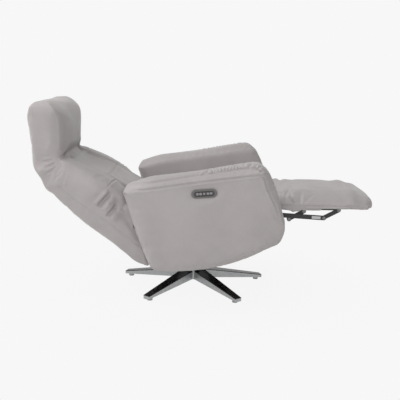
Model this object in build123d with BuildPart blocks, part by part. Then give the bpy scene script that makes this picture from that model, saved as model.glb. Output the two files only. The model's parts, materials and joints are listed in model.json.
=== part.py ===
from build123d import *
import os
from math import atan2, cos, degrees, hypot, radians, sin, sqrt

# Star base swivel recliner, shown fully reclined: the seat is tipped back, the back is down,
# the leg rest is out and the headrest is folded forward.
# Millimetres. +X is the sitter's forward, +Y the sitter's left, +Z up. The origin is on the
# swivel axis at floor level. "Right" is the -Y side, which carries the control panel.

# ---------------------------------------------------------------- driving dimensions
# Turning points, as (X, Z), and how far each upholstered unit leans at this pose
TILT_PIVOT = (200.0, 225.0)         # seat unit on the swivel frame
TILT_ANGLE = 9.6                    # the seat unit is tipped back by this much
RECLINE_PIVOT = (-215.0, 350.0)     # back on the seat unit
BACK_LEAN = 51.8                    # the back's up line, measured back from vertical
HEAD_PIVOT = (-628.0, 575.0)        # headrest on the back

# Travel
RECLINE_TRAVEL = 32.4               # back against seat, from here to upright
LEGREST_TRAVEL = 80.0               # leg rest bars, from here to folded

# Star base
STAR_LEGS = 5
STAR_RADIUS = 345.0
HUB_RADIUS = 46.0
HUB_TOP = 75.0
HUB_BOTTOM = 32.0
LEG_TIP_TOP = 23.0
LEG_TIP_BOTTOM = 9.0
LEG_ROOT_WIDTH = 50.0
LEG_TIP_WIDTH = 29.0
LEG_WALL = 5.0
INLAY_THICKNESS = 3.0
INLAY_MARGIN = 2.0
INLAY_GAP = 0.2
GLIDE_RADIUS = 12.0
GLIDE_INSET = 26.0

# Column and swivel bearing
COLUMN_RADIUS = 30.0
COLUMN_WALL = 5.0
COLUMN_TOP = 140.0
FLANGE_RADIUS = 88.0
FLANGE_THICKNESS = 6.0
RACE_RADIUS = 74.0
RACE_WIDTH = 24.0
RACE_THICKNESS = 8.0
RACE_GAP = 2.0
BALL_RADIUS = 4.0
BALL_COUNT = 12
BALL_PLAY = 0.15
KING_BOLT_RADIUS = 8.0
RUNNING_PLAY = 0.06

# Swivel frame
SWIVEL_PLATE_THICKNESS = 8.0
SWIVEL_PLATE_FRONT = 110.0
SWIVEL_PLATE_REAR = 150.0
SWIVEL_ARM_Y = 117.0                # inner face of each upright
SWIVEL_ARM_THICKNESS = 6.0
TILT_PIN_RADIUS = 8.0
PIVOT_EYE = 16.0                    # radius of the plate round a main pivot

# Steel layers beside the seat, each given by its inner face
STEEL = 4.0
EAR_Y = 214.0                       # ears of the leg rest brackets
ELBOW_Y = 220.0                     # short links
BAR_Y = 226.0                       # long bars, and the back's arms behind them
PLATE_Y = 232.0                     # side plates of the seat
RIVET_RADIUS = 4.0
RIVET_HEAD_RADIUS = 7.0
RIVET_HEAD = 2.5
LINK_WIDTH = 20.0

# Seat unit, in its own lines: forward from the tilt pivot, and up from it
SEAT_HALF_WIDTH = 290.0
SEAT_BOTTOM = 166.3
SEAT_TOP = 262.0
SEAT_FRONT = 138.0
BEAM_BOTTOM = 100.0
BEAM_TOP = 164.0
BEAM_WALL = 12.0
CUSHION_GAP = 1.0

# Arms
ARM_GAP = 7.0                       # between the seat cushion and an arm
ARM_WIDTH = 112.0
ARM_INNER = SEAT_HALF_WIDTH + ARM_GAP
ARM_OUTER = ARM_INNER + ARM_WIDTH
ARM_TOP = 412.0
ARM_SEAM = 363.0
ARM_SHOULDER = 57.0                 # from the outer face in to the highest line of an arm
ARM_CREST = ARM_OUTER - ARM_SHOULDER
ARM_BOARD = 16.0
ARM_BOARD_Y = ARM_INNER + 13 + ARM_BOARD / 2

# Control panel
PANEL_AT = (-112.0, 308.0)          # forward and up, on the right arm
PANEL_LENGTH = 104.0
PANEL_HEIGHT = 33.0
PANEL_TURN = -4.0
BUTTON_TRAVEL = 1.0

# Back
BACK_HALF_WIDTH = 285.0
KNUCKLE_RADIUS = 85.0               # roll at the foot of the back, round the recline pivot
HEAD_KNUCKLE = 58.0                 # roll at the foot of the headrest, round its pivot
KNUCKLE_GAP = 1.5
TORQUE_TUBE_RADIUS = 15.0
TORQUE_TUBE_WALL = 3.0

# Headrest
HEAD_HALF_WIDTH = 262.0

# Leg rest: joints of the linkage as (X, Z)
BAR_END = (562.0, 384.0)
BAR_REAR_RIVET = (411.0, 375.0)
PAD_FRONT_RIVET = (626.0, 419.0)
BAR_PIVOT = (138.0, 165.0)          # on the side plate, in the seat's lines
PAD_REAR = 415.0
PAD_FRONT = 785.0
PAD_HALF_WIDTH = 260.0
PAD_BOTTOM = 424.0
PAD_TOP = 475.0
BOARD_THICKNESS = 12.0

os.makedirs("parts", exist_ok=True)


# ---------------------------------------------------------------- frames and helpers
def side_frame(x, z, lean):
    """Upright plane in the middle of the chair: first axis forward, second axis up."""
    forward = (cos(radians(lean)), 0, sin(radians(lean)))
    return Plane(origin=(x, 0, z), x_dir=forward, z_dir=(0, -1, 0))


SEAT = side_frame(*TILT_PIVOT, TILT_ANGLE)
BACK = side_frame(*RECLINE_PIVOT, BACK_LEAN)
HEAD = side_frame(*HEAD_PIVOT, 0)
LEVEL = side_frame(0, 0, 0)


def at_width(frame, y):
    """The same side plane, moved out to width y. Its normal points to -Y."""
    return frame.offset(-y)


def across(frame, forward):
    """Plane square to the frame's forward axis: sketch x is +Y, sketch y is the frame's up."""
    origin = frame.from_local_coords((forward, 0, 0))
    return Plane(origin=origin, x_dir=(0, 1, 0), z_dir=frame.x_dir)


def over(frame, up):
    """Plane square to the frame's up axis: sketch x is the frame's forward, sketch y is +Y."""
    origin = frame.from_local_coords((0, up, 0))
    return Plane(origin=origin, x_dir=frame.x_dir, z_dir=frame.y_dir)


def in_frame(frame, point):
    """An (X, Z) point of the chair in the lines of a side frame."""
    local = frame.to_local_coords(Vector(point[0], 0, point[1]))
    return (local.X, local.Y)


def between(low, high, side):
    """The two faces of a layer on one side of the chair, low one first."""
    return (low, high) if side > 0 else (-high, -low)


def save(piece, name):
    piece.part.label = name
    export_step(piece.part, f"parts/{name}.step")


def strip(points, width):
    """Sketch of a flat bar with round ends along a line of points."""
    for start, end in zip(points, points[1:]):
        run = (end[0] - start[0], end[1] - start[1])
        middle = ((start[0] + end[0]) / 2, (start[1] + end[1]) / 2)
        with Locations(middle):
            SlotCenterToCenter(hypot(*run), width, rotation=degrees(atan2(run[1], run[0])))


def flat_link(frame, points, width, low, high, holes, hole_radius):
    """Flat steel link in a side frame, between two widths, with its pivot holes."""
    with BuildPart() as link:
        with BuildSketch(at_width(frame, high)):
            strip(points, width)
            with Locations(*holes):
                Circle(hole_radius, mode=Mode.SUBTRACT)
        extrude(amount=high - low)
    return link


def pin(frame, centre, radius, low, high, head_radius, head):
    """Headed pin across the chair, its shank between two widths and a head outside each end."""
    with BuildPart() as bolt:
        with BuildSketch(at_width(frame, high)):
            with Locations(centre):
                Circle(radius)
        extrude(amount=high - low)
        for y in (high + head, low):
            with BuildSketch(at_width(frame, y)):
                with Locations(centre):
                    Circle(head_radius)
            extrude(amount=head)
    return bolt


def joined(pieces):
    """Several separate solids kept together as one node."""
    with BuildPart() as group:
        for piece in pieces:
            add(piece.part)
    return group


SIDES = (("left", 1), ("right", -1))
RIVET_HOLE = RIVET_RADIUS + RUNNING_PLAY


# ---------------------------------------------------------------- star base
def leg_outline(margin, root, tip):
    """Plan of one leg along +X, drawn in by a margin."""
    half_root = LEG_ROOT_WIDTH / 2 - margin
    half_tip = LEG_TIP_WIDTH / 2 - margin
    Polygon((root, -half_root), (tip - margin, -half_tip), (tip - margin, half_tip),
            (root, half_root), align=None)


def leg_top(r):
    """Height of a leg's top edge at a distance from the swivel axis."""
    slope = (HUB_TOP - LEG_TIP_TOP) / (STAR_RADIUS - HUB_RADIUS)
    return HUB_TOP - slope * (r - HUB_RADIUS)


def leg_bottom(r):
    slope = (HUB_BOTTOM - LEG_TIP_BOTTOM) / (STAR_RADIUS - HUB_RADIUS)
    return HUB_BOTTOM - slope * (r - HUB_RADIUS)


GLIDE_AT = STAR_RADIUS - GLIDE_INSET
INLAY_START = HUB_RADIUS + 4.0
CHANNEL_START = HUB_RADIUS - 2.0
CHANNEL_END = GLIDE_AT - GLIDE_RADIUS - LEG_WALL
GLIDE_HEIGHT = 7.0
STEM_RADIUS = 4.0
STEM_HEIGHT = 8.0

with BuildPart() as leg:
    with BuildSketch(Plane.XY):
        leg_outline(0, 0, STAR_RADIUS)
    extrude(amount=HUB_TOP)
    with BuildSketch(Plane.XZ):
        with BuildLine():
            Polyline((0, HUB_BOTTOM), (HUB_RADIUS, HUB_BOTTOM),
                     (STAR_RADIUS, LEG_TIP_BOTTOM), (STAR_RADIUS, LEG_TIP_TOP),
                     (HUB_RADIUS, HUB_TOP), (0, HUB_TOP), close=True)
        make_face()
    extrude(amount=LEG_ROOT_WIDTH, both=True, mode=Mode.INTERSECT)
    # hollow underside of the casting
    channel_tip = LEG_TIP_WIDTH / 2 - LEG_WALL
    with BuildSketch(Plane.XZ):
        with BuildLine():
            Polyline((CHANNEL_START, 0), (CHANNEL_END, 0),
                     (CHANNEL_END, leg_top(CHANNEL_END) - INLAY_THICKNESS - LEG_WALL),
                     (CHANNEL_START, leg_top(CHANNEL_START) - INLAY_THICKNESS - LEG_WALL),
                     close=True)
        make_face()
    extrude(amount=channel_tip, both=True, mode=Mode.SUBTRACT)

with BuildPart() as inlay_cut:
    with BuildSketch(Plane.XY):
        leg_outline(INLAY_MARGIN - INLAY_GAP, INLAY_START - INLAY_GAP, STAR_RADIUS)
    extrude(amount=HUB_TOP)
    with BuildSketch(Plane.XZ):
        with BuildLine():
            Polyline((0, leg_top(0)), (STAR_RADIUS, LEG_TIP_TOP),
                     (STAR_RADIUS, LEG_TIP_TOP - INLAY_THICKNESS),
                     (0, leg_top(0) - INLAY_THICKNESS), close=True)
        make_face()
    extrude(amount=LEG_ROOT_WIDTH, both=True, mode=Mode.INTERSECT)

with BuildPart() as one_inlay:
    with BuildSketch(Plane.XY):
        leg_outline(INLAY_MARGIN, INLAY_START, STAR_RADIUS)
    extrude(amount=HUB_TOP)
    with BuildSketch(Plane.XZ):
        with BuildLine():
            Polyline((0, leg_top(0)), (STAR_RADIUS, LEG_TIP_TOP),
                     (STAR_RADIUS, LEG_TIP_TOP - INLAY_THICKNESS),
                     (0, leg_top(0) - INLAY_THICKNESS), close=True)
        make_face()
    extrude(amount=LEG_ROOT_WIDTH, both=True, mode=Mode.INTERSECT)

with BuildPart() as star_base:
    with PolarLocations(0, STAR_LEGS, start_angle=90):
        add(leg.part)
    with BuildSketch(Plane.XY.offset(HUB_BOTTOM)):
        Circle(HUB_RADIUS)
    extrude(amount=HUB_TOP - HUB_BOTTOM)
    with PolarLocations(0, STAR_LEGS, start_angle=90):
        add(inlay_cut.part, mode=Mode.SUBTRACT)
    with BuildSketch(Plane.XY.offset(HUB_BOTTOM)):
        Circle(COLUMN_RADIUS + RUNNING_PLAY)
    extrude(amount=HUB_TOP - HUB_BOTTOM, mode=Mode.SUBTRACT)
    # bosses under the tips, bored for the stems of the glides
    with BuildSketch(Plane.XY.offset(GLIDE_HEIGHT)):
        with PolarLocations(GLIDE_AT, STAR_LEGS, start_angle=90):
            Circle(GLIDE_RADIUS)
    extrude(amount=LEG_TIP_BOTTOM - GLIDE_HEIGHT + 5)
    with BuildSketch(Plane.XY.offset(GLIDE_HEIGHT)):
        with PolarLocations(GLIDE_AT, STAR_LEGS, start_angle=90):
            Circle(STEM_RADIUS)
    extrude(amount=STEM_HEIGHT, mode=Mode.SUBTRACT)
save(star_base, "star_base")

with BuildPart() as leg_inlays:
    with PolarLocations(0, STAR_LEGS, start_angle=90):
        add(one_inlay.part)
save(leg_inlays, "leg_inlays")

# The glides carry the base: a disc on the floor with a stem pressed into each boss
with BuildPart() as floor_glides:
    with BuildSketch(Plane.XY):
        with PolarLocations(GLIDE_AT, STAR_LEGS, start_angle=90):
            Circle(GLIDE_RADIUS)
    extrude(amount=GLIDE_HEIGHT)
    with BuildSketch(Plane.XY.offset(GLIDE_HEIGHT)):
        with PolarLocations(GLIDE_AT, STAR_LEGS, start_angle=90):
            Circle(STEM_RADIUS)
    extrude(amount=STEM_HEIGHT)
save(floor_glides, "floor_glides")

# ---------------------------------------------------------------- column and swivel bearing
FLANGE_TOP = COLUMN_TOP + FLANGE_THICKNESS
with BuildPart() as column:
    with BuildSketch(Plane.XY.offset(HUB_BOTTOM)):
        Circle(COLUMN_RADIUS)
        Circle(COLUMN_RADIUS - COLUMN_WALL, mode=Mode.SUBTRACT)
    extrude(amount=COLUMN_TOP - HUB_BOTTOM)
    with BuildSketch(Plane.XY.offset(COLUMN_TOP)):
        Circle(FLANGE_RADIUS)
        Circle(KING_BOLT_RADIUS + RUNNING_PLAY, mode=Mode.SUBTRACT)
    extrude(amount=FLANGE_THICKNESS)
save(column, "column")

COLLAR_HEIGHT = 34.0
COLLAR_THICKNESS = 9.0
with BuildPart() as hub_collar:
    with BuildSketch(Plane.XZ):
        inner = COLUMN_RADIUS + 0.5
        with BuildLine():
            Polyline((inner, HUB_TOP), (HUB_RADIUS - 1, HUB_TOP),
                     (HUB_RADIUS - 1, HUB_TOP + 4), (inner + COLLAR_THICKNESS, HUB_TOP + 10),
                     (inner + 3, HUB_TOP + COLLAR_HEIGHT), (inner, HUB_TOP + COLLAR_HEIGHT),
                     close=True)
        make_face()
    revolve(axis=Axis.Z)
save(hub_collar, "hub_collar")

BALL_HEIGHT = FLANGE_TOP + RACE_THICKNESS + RACE_GAP / 2
UPPER_RACE_BOTTOM = FLANGE_TOP + RACE_THICKNESS + RACE_GAP
SWIVEL_PLATE_BOTTOM = UPPER_RACE_BOTTOM + RACE_THICKNESS


def race(bottom):
    """Bearing ring with a ball groove in the face towards the balls."""
    with BuildPart() as ring:
        with BuildSketch(Plane.XY.offset(bottom)):
            Circle(RACE_RADIUS + RACE_WIDTH / 2)
            Circle(RACE_RADIUS - RACE_WIDTH / 2, mode=Mode.SUBTRACT)
        extrude(amount=RACE_THICKNESS)
        with BuildSketch(Plane.XZ):
            with Locations((RACE_RADIUS, BALL_HEIGHT)):
                Circle(BALL_RADIUS + BALL_PLAY)
        revolve(axis=Axis.Z, mode=Mode.SUBTRACT)
    return ring


bearing_lower = race(FLANGE_TOP)
save(bearing_lower, "bearing_ring_lower")
bearing_upper = race(UPPER_RACE_BOTTOM)
save(bearing_upper, "bearing_ring_upper")

with BuildPart() as bearing_balls:
    with Locations(Plane.XY.offset(BALL_HEIGHT)):
        with PolarLocations(RACE_RADIUS, BALL_COUNT):
            Sphere(BALL_RADIUS)
save(bearing_balls, "bearing_balls")

KING_HEAD = 7.0
KING_HEAD_RADIUS = 13.0
SWIVEL_PLATE_TOP = SWIVEL_PLATE_BOTTOM + SWIVEL_PLATE_THICKNESS
with BuildPart() as king_bolt:
    with BuildSketch(Plane.XY.offset(COLUMN_TOP - KING_HEAD)):
        RegularPolygon(KING_HEAD_RADIUS, 6)
    extrude(amount=KING_HEAD)
    with BuildSketch(Plane.XY.offset(COLUMN_TOP)):
        Circle(KING_BOLT_RADIUS)
    extrude(amount=SWIVEL_PLATE_TOP - COLUMN_TOP + 0.3)
    with BuildSketch(Plane.XY.offset(SWIVEL_PLATE_TOP + 0.3)):
        RegularPolygon(KING_HEAD_RADIUS, 6)
    extrude(amount=KING_HEAD)
save(king_bolt, "king_bolt")

# ---------------------------------------------------------------- swivel frame
# The back's lever carries a pin that works in a curved slot of a guide on the swivel frame,
# so the seat tilts in step with the back
LEVER_TIP = (-105.0, 290.0)
LEVER_PAIR_Y = 8.0
LEVER_THICKNESS = 5.0


def turned(point, centre, angle):
    """An (X, Z) point turned about +Y by an angle in degrees."""
    dx, dz = point[0] - centre[0], point[1] - centre[1]
    c, s = cos(radians(angle)), sin(radians(angle))
    return (centre[0] + dx * c + dz * s, centre[1] - dx * s + dz * c)


def lever_tip_after(angle):
    """Place of the lever's pin once the back has come up by an angle against the seat."""
    tilt = TILT_ANGLE * angle / RECLINE_TRAVEL
    return turned(turned(LEVER_TIP, RECLINE_PIVOT, angle), TILT_PIVOT, tilt)


SWIVEL_PLATE_HALF = SWIVEL_ARM_Y + SWIVEL_ARM_THICKNESS + 4

with BuildPart() as swivel_plate:
    with BuildSketch(Plane.XY.offset(SWIVEL_PLATE_BOTTOM)):
        with Locations(((SWIVEL_PLATE_FRONT - SWIVEL_PLATE_REAR) / 2, 0)):
            RectangleRounded(SWIVEL_PLATE_FRONT + SWIVEL_PLATE_REAR, 2 * SWIVEL_PLATE_HALF, 20)
        Circle(KING_BOLT_RADIUS + RUNNING_PLAY, mode=Mode.SUBTRACT)
    extrude(amount=SWIVEL_PLATE_THICKNESS)
save(swivel_plate, "swivel_plate")


def swivel_arm(side):
    """Upright on the swivel plate, with the bore of the tilt pin at its front."""
    low, high = between(SWIVEL_ARM_Y, SWIVEL_ARM_Y + SWIVEL_ARM_THICKNESS, side)
    px, pz = TILT_PIVOT
    with BuildPart() as arm:
        with BuildSketch(at_width(LEVEL, high)):
            with BuildLine():
                Polyline((-60, SWIVEL_PLATE_TOP), (SWIVEL_PLATE_FRONT - 10, SWIVEL_PLATE_TOP),
                         (px + 4, pz - PIVOT_EYE + 1), (px - 4, pz + PIVOT_EYE - 1),
                         (-20, SWIVEL_PLATE_TOP + 26), (-60, SWIVEL_PLATE_TOP + 14), close=True)
            make_face()
            with Locations(TILT_PIVOT):
                Circle(PIVOT_EYE)
                Circle(TILT_PIN_RADIUS + RUNNING_PLAY, mode=Mode.SUBTRACT)
        extrude(amount=high - low)
    return arm


save(joined([swivel_arm(1), swivel_arm(-1)]), "swivel_arms")

GUIDE_HALF = 4.0
GUIDE_PLAY = 1.0
GUIDE_RIM = 12.0
guide_path = ThreePointArc(LEVER_TIP, lever_tip_after(RECLINE_TRAVEL / 2), lever_tip_after(RECLINE_TRAVEL))
with BuildPart() as tilt_guide:
    with BuildSketch(at_width(LEVEL, GUIDE_HALF)):
        Polygon((-145, SWIVEL_PLATE_TOP), (-92, SWIVEL_PLATE_TOP), (-92, LEVER_TIP[1]),
                (-152, LEVER_TIP[1]), align=None)
        SlotArc(guide_path, 2 * (RIVET_RADIUS + GUIDE_PLAY + GUIDE_RIM))
        SlotArc(guide_path, 2 * (RIVET_RADIUS + GUIDE_PLAY), mode=Mode.SUBTRACT)
    extrude(amount=2 * GUIDE_HALF)
save(tilt_guide, "tilt_guide")

LUG_GAP = 3.0
TILT_LUG_Y = SWIVEL_ARM_Y + SWIVEL_ARM_THICKNESS + LUG_GAP
tilt_pin = pin(LEVEL, TILT_PIVOT, TILT_PIN_RADIUS, -TILT_LUG_Y - 8, TILT_LUG_Y + 8, 12, 4)
save(tilt_pin, "tilt_pin")

# ---------------------------------------------------------------- seat frame
FRONT_TUBE = (0.0, 45.0)
REAR_TUBE = (-250.0, 60.0)
TUBE = 30.0
TUBE_WALL = 3.0
RECLINE_AT = in_frame(SEAT, RECLINE_PIVOT)


def side_plate(side):
    """Pressed side plate that carries the cross tubes, the back and the leg rest bars."""
    low, high = between(PLATE_Y, PLATE_Y + STEEL, side)
    rx, rz = RECLINE_AT
    bx, bz = BAR_PIVOT
    with BuildPart() as plate:
        with BuildSketch(at_width(SEAT, high)):
            with BuildLine():
                Polyline((rx - 16, rz - 4), (rx + 60, BEAM_BOTTOM - 10),
                         (REAR_TUBE[0] - 24, REAR_TUBE[1] - 20),
                         (REAR_TUBE[0] + 24, REAR_TUBE[1] - 20),
                         (-60, BEAM_BOTTOM - 20), (FRONT_TUBE[0] - 24, FRONT_TUBE[1] - 20),
                         (FRONT_TUBE[0] + 24, FRONT_TUBE[1] - 20), (60, BEAM_BOTTOM - 10),
                         (bx + 6, bz - 15), (bx, bz), (bx - 20, BEAM_TOP),
                         (rx + 70, BEAM_TOP), (rx + 6, rz + 14), close=True)
            make_face()
            with Locations(RECLINE_AT):
                Circle(20)
            with Locations(BAR_PIVOT):
                Circle(PIVOT_EYE)
            with Locations(RECLINE_AT, BAR_PIVOT):
                Circle(RIVET_RADIUS * 1.5 + RUNNING_PLAY, mode=Mode.SUBTRACT)
        extrude(amount=high - low)
    return plate


save(joined([side_plate(1), side_plate(-1)]), "side_plates")


def cross_tube(centre):
    """Square tube across the chair between the side plates."""
    with BuildPart() as tube:
        with BuildSketch(at_width(SEAT, PLATE_Y)):
            with Locations(centre):
                RectangleRounded(TUBE, TUBE, 4)
                Rectangle(TUBE - 2 * TUBE_WALL, TUBE - 2 * TUBE_WALL, mode=Mode.SUBTRACT)
        extrude(amount=2 * PLATE_Y)
    return tube


front_tube = cross_tube(FRONT_TUBE)
with BuildPart() as front_tube_with_lugs:
    add(front_tube.part)
    for side_name, side in SIDES:
        low, high = between(TILT_LUG_Y, TILT_LUG_Y + 5, side)
        with BuildSketch(at_width(SEAT, high)):
            Circle(PIVOT_EYE)
            with Locations((0, (FRONT_TUBE[1] - TUBE / 2) / 2)):
                Rectangle(2 * PIVOT_EYE, FRONT_TUBE[1] - TUBE / 2)
            Circle(TILT_PIN_RADIUS + RUNNING_PLAY, mode=Mode.SUBTRACT)
        extrude(amount=high - low)
save(front_tube_with_lugs, "front_cross_tube")
save(cross_tube(REAR_TUBE), "rear_cross_tube")

BEAM_REAR = RECLINE_AT[0] + 36
BEAM_FRONT = BAR_PIVOT[0] - 12
BEAM_END = ARM_BOARD_Y - ARM_BOARD / 2


def side_beam(side):
    """Plywood box beam that joins a side plate to the board in the arm."""
    low, high = between(PLATE_Y + STEEL, BEAM_END, side)
    middle = ((BEAM_REAR + BEAM_FRONT) / 2, (BEAM_BOTTOM + BEAM_TOP) / 2)
    with BuildPart() as beam:
        with BuildSketch(at_width(SEAT, high)):
            with Locations(middle):
                Rectangle(BEAM_FRONT - BEAM_REAR, BEAM_TOP - BEAM_BOTTOM)
        extrude(amount=high - low)
        hollow_low, hollow_high = low + BEAM_WALL, high - BEAM_WALL
        with BuildSketch(at_width(SEAT, hollow_high)):
            with Locations(middle):
                Rectangle(BEAM_FRONT - BEAM_REAR, BEAM_TOP - BEAM_BOTTOM - 2 * BEAM_WALL)
        extrude(amount=hollow_high - hollow_low, mode=Mode.SUBTRACT)
    return beam


save(joined([side_beam(1), side_beam(-1)]), "side_beams")

RAIL_DEPTH = 20.0
RAIL_AT = 70.0
RAIL_HEIGHT = 26.0
with BuildPart() as front_rail:
    with BuildSketch(at_width(SEAT, PLATE_Y)):
        with Locations((RAIL_AT, BEAM_TOP - RAIL_HEIGHT / 2)):
            Rectangle(RAIL_DEPTH, RAIL_HEIGHT)
    extrude(amount=2 * PLATE_Y)
save(front_rail, "front_rail")

# Elastic straps across the seat, stapled to the tops of the beams
STRAP_COUNT = 5
STRAP_WIDTH = 50.0
STRAP_THICKNESS = 2.0
STRAP_PITCH = 72.0
with BuildPart() as seat_straps:
    with BuildSketch(over(SEAT, BEAM_TOP)):
        with Locations((-75, 0)):
            with GridLocations(STRAP_PITCH, 1, STRAP_COUNT, 1):
                Rectangle(STRAP_WIDTH, 2 * (SEAT_HALF_WIDTH - 20))
    extrude(amount=STRAP_THICKNESS)
save(seat_straps, "seat_straps")

# Headed pivot bolts of the back and of the leg rest bars
pivot_bolts = []
for side_name, side in SIDES:
    low, high = between(BAR_Y, PLATE_Y + STEEL, side)
    pivot_bolts.append(pin(SEAT, RECLINE_AT, RIVET_RADIUS * 1.5, low, high, 10, 1.5))
    pivot_bolts.append(pin(SEAT, BAR_PIVOT, RIVET_RADIUS * 1.5, low, high, 10, 1.5))
pivot_bolt_set = joined(pivot_bolts)
save(pivot_bolt_set, "pivot_bolts")

# ---------------------------------------------------------------- seat cushion
SEAT_CROWN = 10.0
SEAT_NOSE = 34.0
with BuildPart() as seat_cushion:
    with BuildSketch(at_width(SEAT, SEAT_HALF_WIDTH)):
        rx, rz = RECLINE_AT
        reach = KNUCKLE_RADIUS + KNUCKLE_GAP
        foot_x = rx + sqrt(reach**2 - (rz - SEAT_BOTTOM)**2)
        top_x = rx + sqrt(reach**2 - (SEAT_TOP - rz)**2)
        with BuildLine():
            ThreePointArc((foot_x, SEAT_BOTTOM), (rx + reach, rz), (top_x, SEAT_TOP))
            ThreePointArc((top_x, SEAT_TOP), ((top_x + SEAT_FRONT) / 2, SEAT_TOP + SEAT_CROWN),
                          (SEAT_FRONT - SEAT_NOSE, SEAT_TOP - 4))
            ThreePointArc((SEAT_FRONT - SEAT_NOSE, SEAT_TOP - 4), (SEAT_FRONT - 6, SEAT_TOP - 20),
                          (SEAT_FRONT, SEAT_TOP - 48))
            Line((SEAT_FRONT, SEAT_TOP - 48), (SEAT_FRONT - 8, SEAT_BOTTOM))
            Line((SEAT_FRONT - 8, SEAT_BOTTOM), (foot_x, SEAT_BOTTOM))
        make_face()
    extrude(amount=2 * SEAT_HALF_WIDTH)
    # crown across the seat, with sides that draw in towards the bottom
    with BuildSketch(across(SEAT, rx)):
        half = SEAT_HALF_WIDTH
        with BuildLine():
            Polyline((-half + 6, SEAT_BOTTOM), (-half, SEAT_BOTTOM + 40), (-half, SEAT_TOP - 34))
            ThreePointArc((-half, SEAT_TOP - 34), (-half + 12, SEAT_TOP - 12), (-half + 36, SEAT_TOP))
            ThreePointArc((-half + 36, SEAT_TOP), (0, SEAT_TOP + SEAT_CROWN), (half - 36, SEAT_TOP))
            ThreePointArc((half - 36, SEAT_TOP), (half - 12, SEAT_TOP - 12), (half, SEAT_TOP - 34))
            Polyline((half, SEAT_TOP - 34), (half, SEAT_BOTTOM + 40), (half - 6, SEAT_BOTTOM))
            Line((half - 6, SEAT_BOTTOM), (-half + 6, SEAT_BOTTOM))
        make_face()
    extrude(amount=SEAT_FRONT - rx + 10, mode=Mode.INTERSECT)
    # reliefs in the underside for the pivots of the leg rest bars, longer to the rear, where the
    # tail of a bar comes up as the leg rest folds
    for side_name, side in SIDES:
        low, high = between(BAR_Y - 4, PLATE_Y + STEEL + 4, side)
        with BuildSketch(at_width(SEAT, high)):
            with Locations((BAR_PIVOT[0] - PIVOT_EYE / 2, BAR_PIVOT[1])):
                Rectangle(3 * PIVOT_EYE + 8, 2 * PIVOT_EYE + 8)
        extrude(amount=high - low, mode=Mode.SUBTRACT)
save(seat_cushion, "seat_cushion")

# ---------------------------------------------------------------- arms
ARM_FRONT = 194.0
ARM_REAR = -446.0
ARM_TOP_FRONT = 105.0
ARM_TOP_REAR = -405.0
ARM_FOOT_FRONT = 135.0
ARM_FOOT_REAR = -345.0
ARM_FOOT = -11.0
SEAM_DEPTH = 2.0
SEAM_HALF = 2.0
UPPER_SEAM_RISE = 26.0


def arm_outline():
    """Side view of an arm: level top, slanted ends, bottom curved like a boat."""
    with BuildSketch() as outline:
        with BuildLine():
            Line((ARM_TOP_REAR, ARM_TOP), (ARM_TOP_FRONT, ARM_TOP - 8))
            ThreePointArc((ARM_TOP_FRONT, ARM_TOP - 8), (146, 386), (166, 338))
            ThreePointArc((166, 338), (188, 250), (ARM_FRONT, 150))
            ThreePointArc((ARM_FRONT, 150), (182, 82), (ARM_FOOT_FRONT, 48))
            ThreePointArc((ARM_FOOT_FRONT, 48), (-110, ARM_FOOT), (ARM_FOOT_REAR, 8))
            ThreePointArc((ARM_FOOT_REAR, 8), (-380, 24), (-396, 58))
            Line((-396, 58), (ARM_REAR, 368))
            ThreePointArc((ARM_REAR, 368), (-438, 399), (ARM_TOP_REAR, ARM_TOP))
        make_face()
    return outline.sketch_local


def arm_section(side):
    """End view of an arm: full outer face, rounded top, two sewn seams along the outside."""
    seam = ARM_SEAM
    upper = ARM_SEAM + UPPER_SEAM_RISE
    outer_at_upper = ARM_OUTER - 11
    foot = ARM_FOOT - 10
    seam_y = ARM_OUTER - 4
    with BuildSketch() as section:
        with BuildLine():
            Line((side * ARM_INNER, foot), (side * (ARM_OUTER - 8), foot))
            ThreePointArc((side * (ARM_OUTER - 8), foot), (side * ARM_OUTER, 200),
                          (side * seam_y, seam - SEAM_HALF))
            Polyline((side * seam_y, seam - SEAM_HALF), (side * (seam_y - SEAM_DEPTH), seam),
                     (side * seam_y, seam + SEAM_HALF))
            ThreePointArc((side * seam_y, seam + SEAM_HALF), (side * (seam_y - 1), upper - 12),
                          (side * outer_at_upper, upper - SEAM_HALF))
            Polyline((side * outer_at_upper, upper - SEAM_HALF),
                     (side * (outer_at_upper - 2 * SEAM_DEPTH), upper - 1),
                     (side * (outer_at_upper - 3), upper + 2 * SEAM_HALF))
            ThreePointArc((side * (outer_at_upper - 3), upper + 2 * SEAM_HALF),
                          (side * (ARM_CREST + 26), ARM_TOP - 6), (side * ARM_CREST, ARM_TOP))
            ThreePointArc((side * ARM_CREST, ARM_TOP), (side * (ARM_INNER + 14), ARM_TOP - 16),
                          (side * ARM_INNER, ARM_TOP - 52))
            Line((side * ARM_INNER, ARM_TOP - 52), (side * ARM_INNER, foot))
        make_face()
    return section.sketch_local


BOARD_TOP = 330.0
BOARD_INSET = 26.0


def arm_board_outline(grow):
    """Side view of the plywood board inside an arm, open to the bottom of the arm."""
    Polygon((ARM_FOOT_REAR + 8 - grow, 14 - grow), (-396 + BOARD_INSET - grow, BOARD_TOP + grow),
            (166 - BOARD_INSET + grow, BOARD_TOP + grow), (ARM_FOOT_FRONT + grow, 60),
            (ARM_FOOT_FRONT - 30 + grow, 44 - grow), (40, 14 - grow), align=None)


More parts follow.
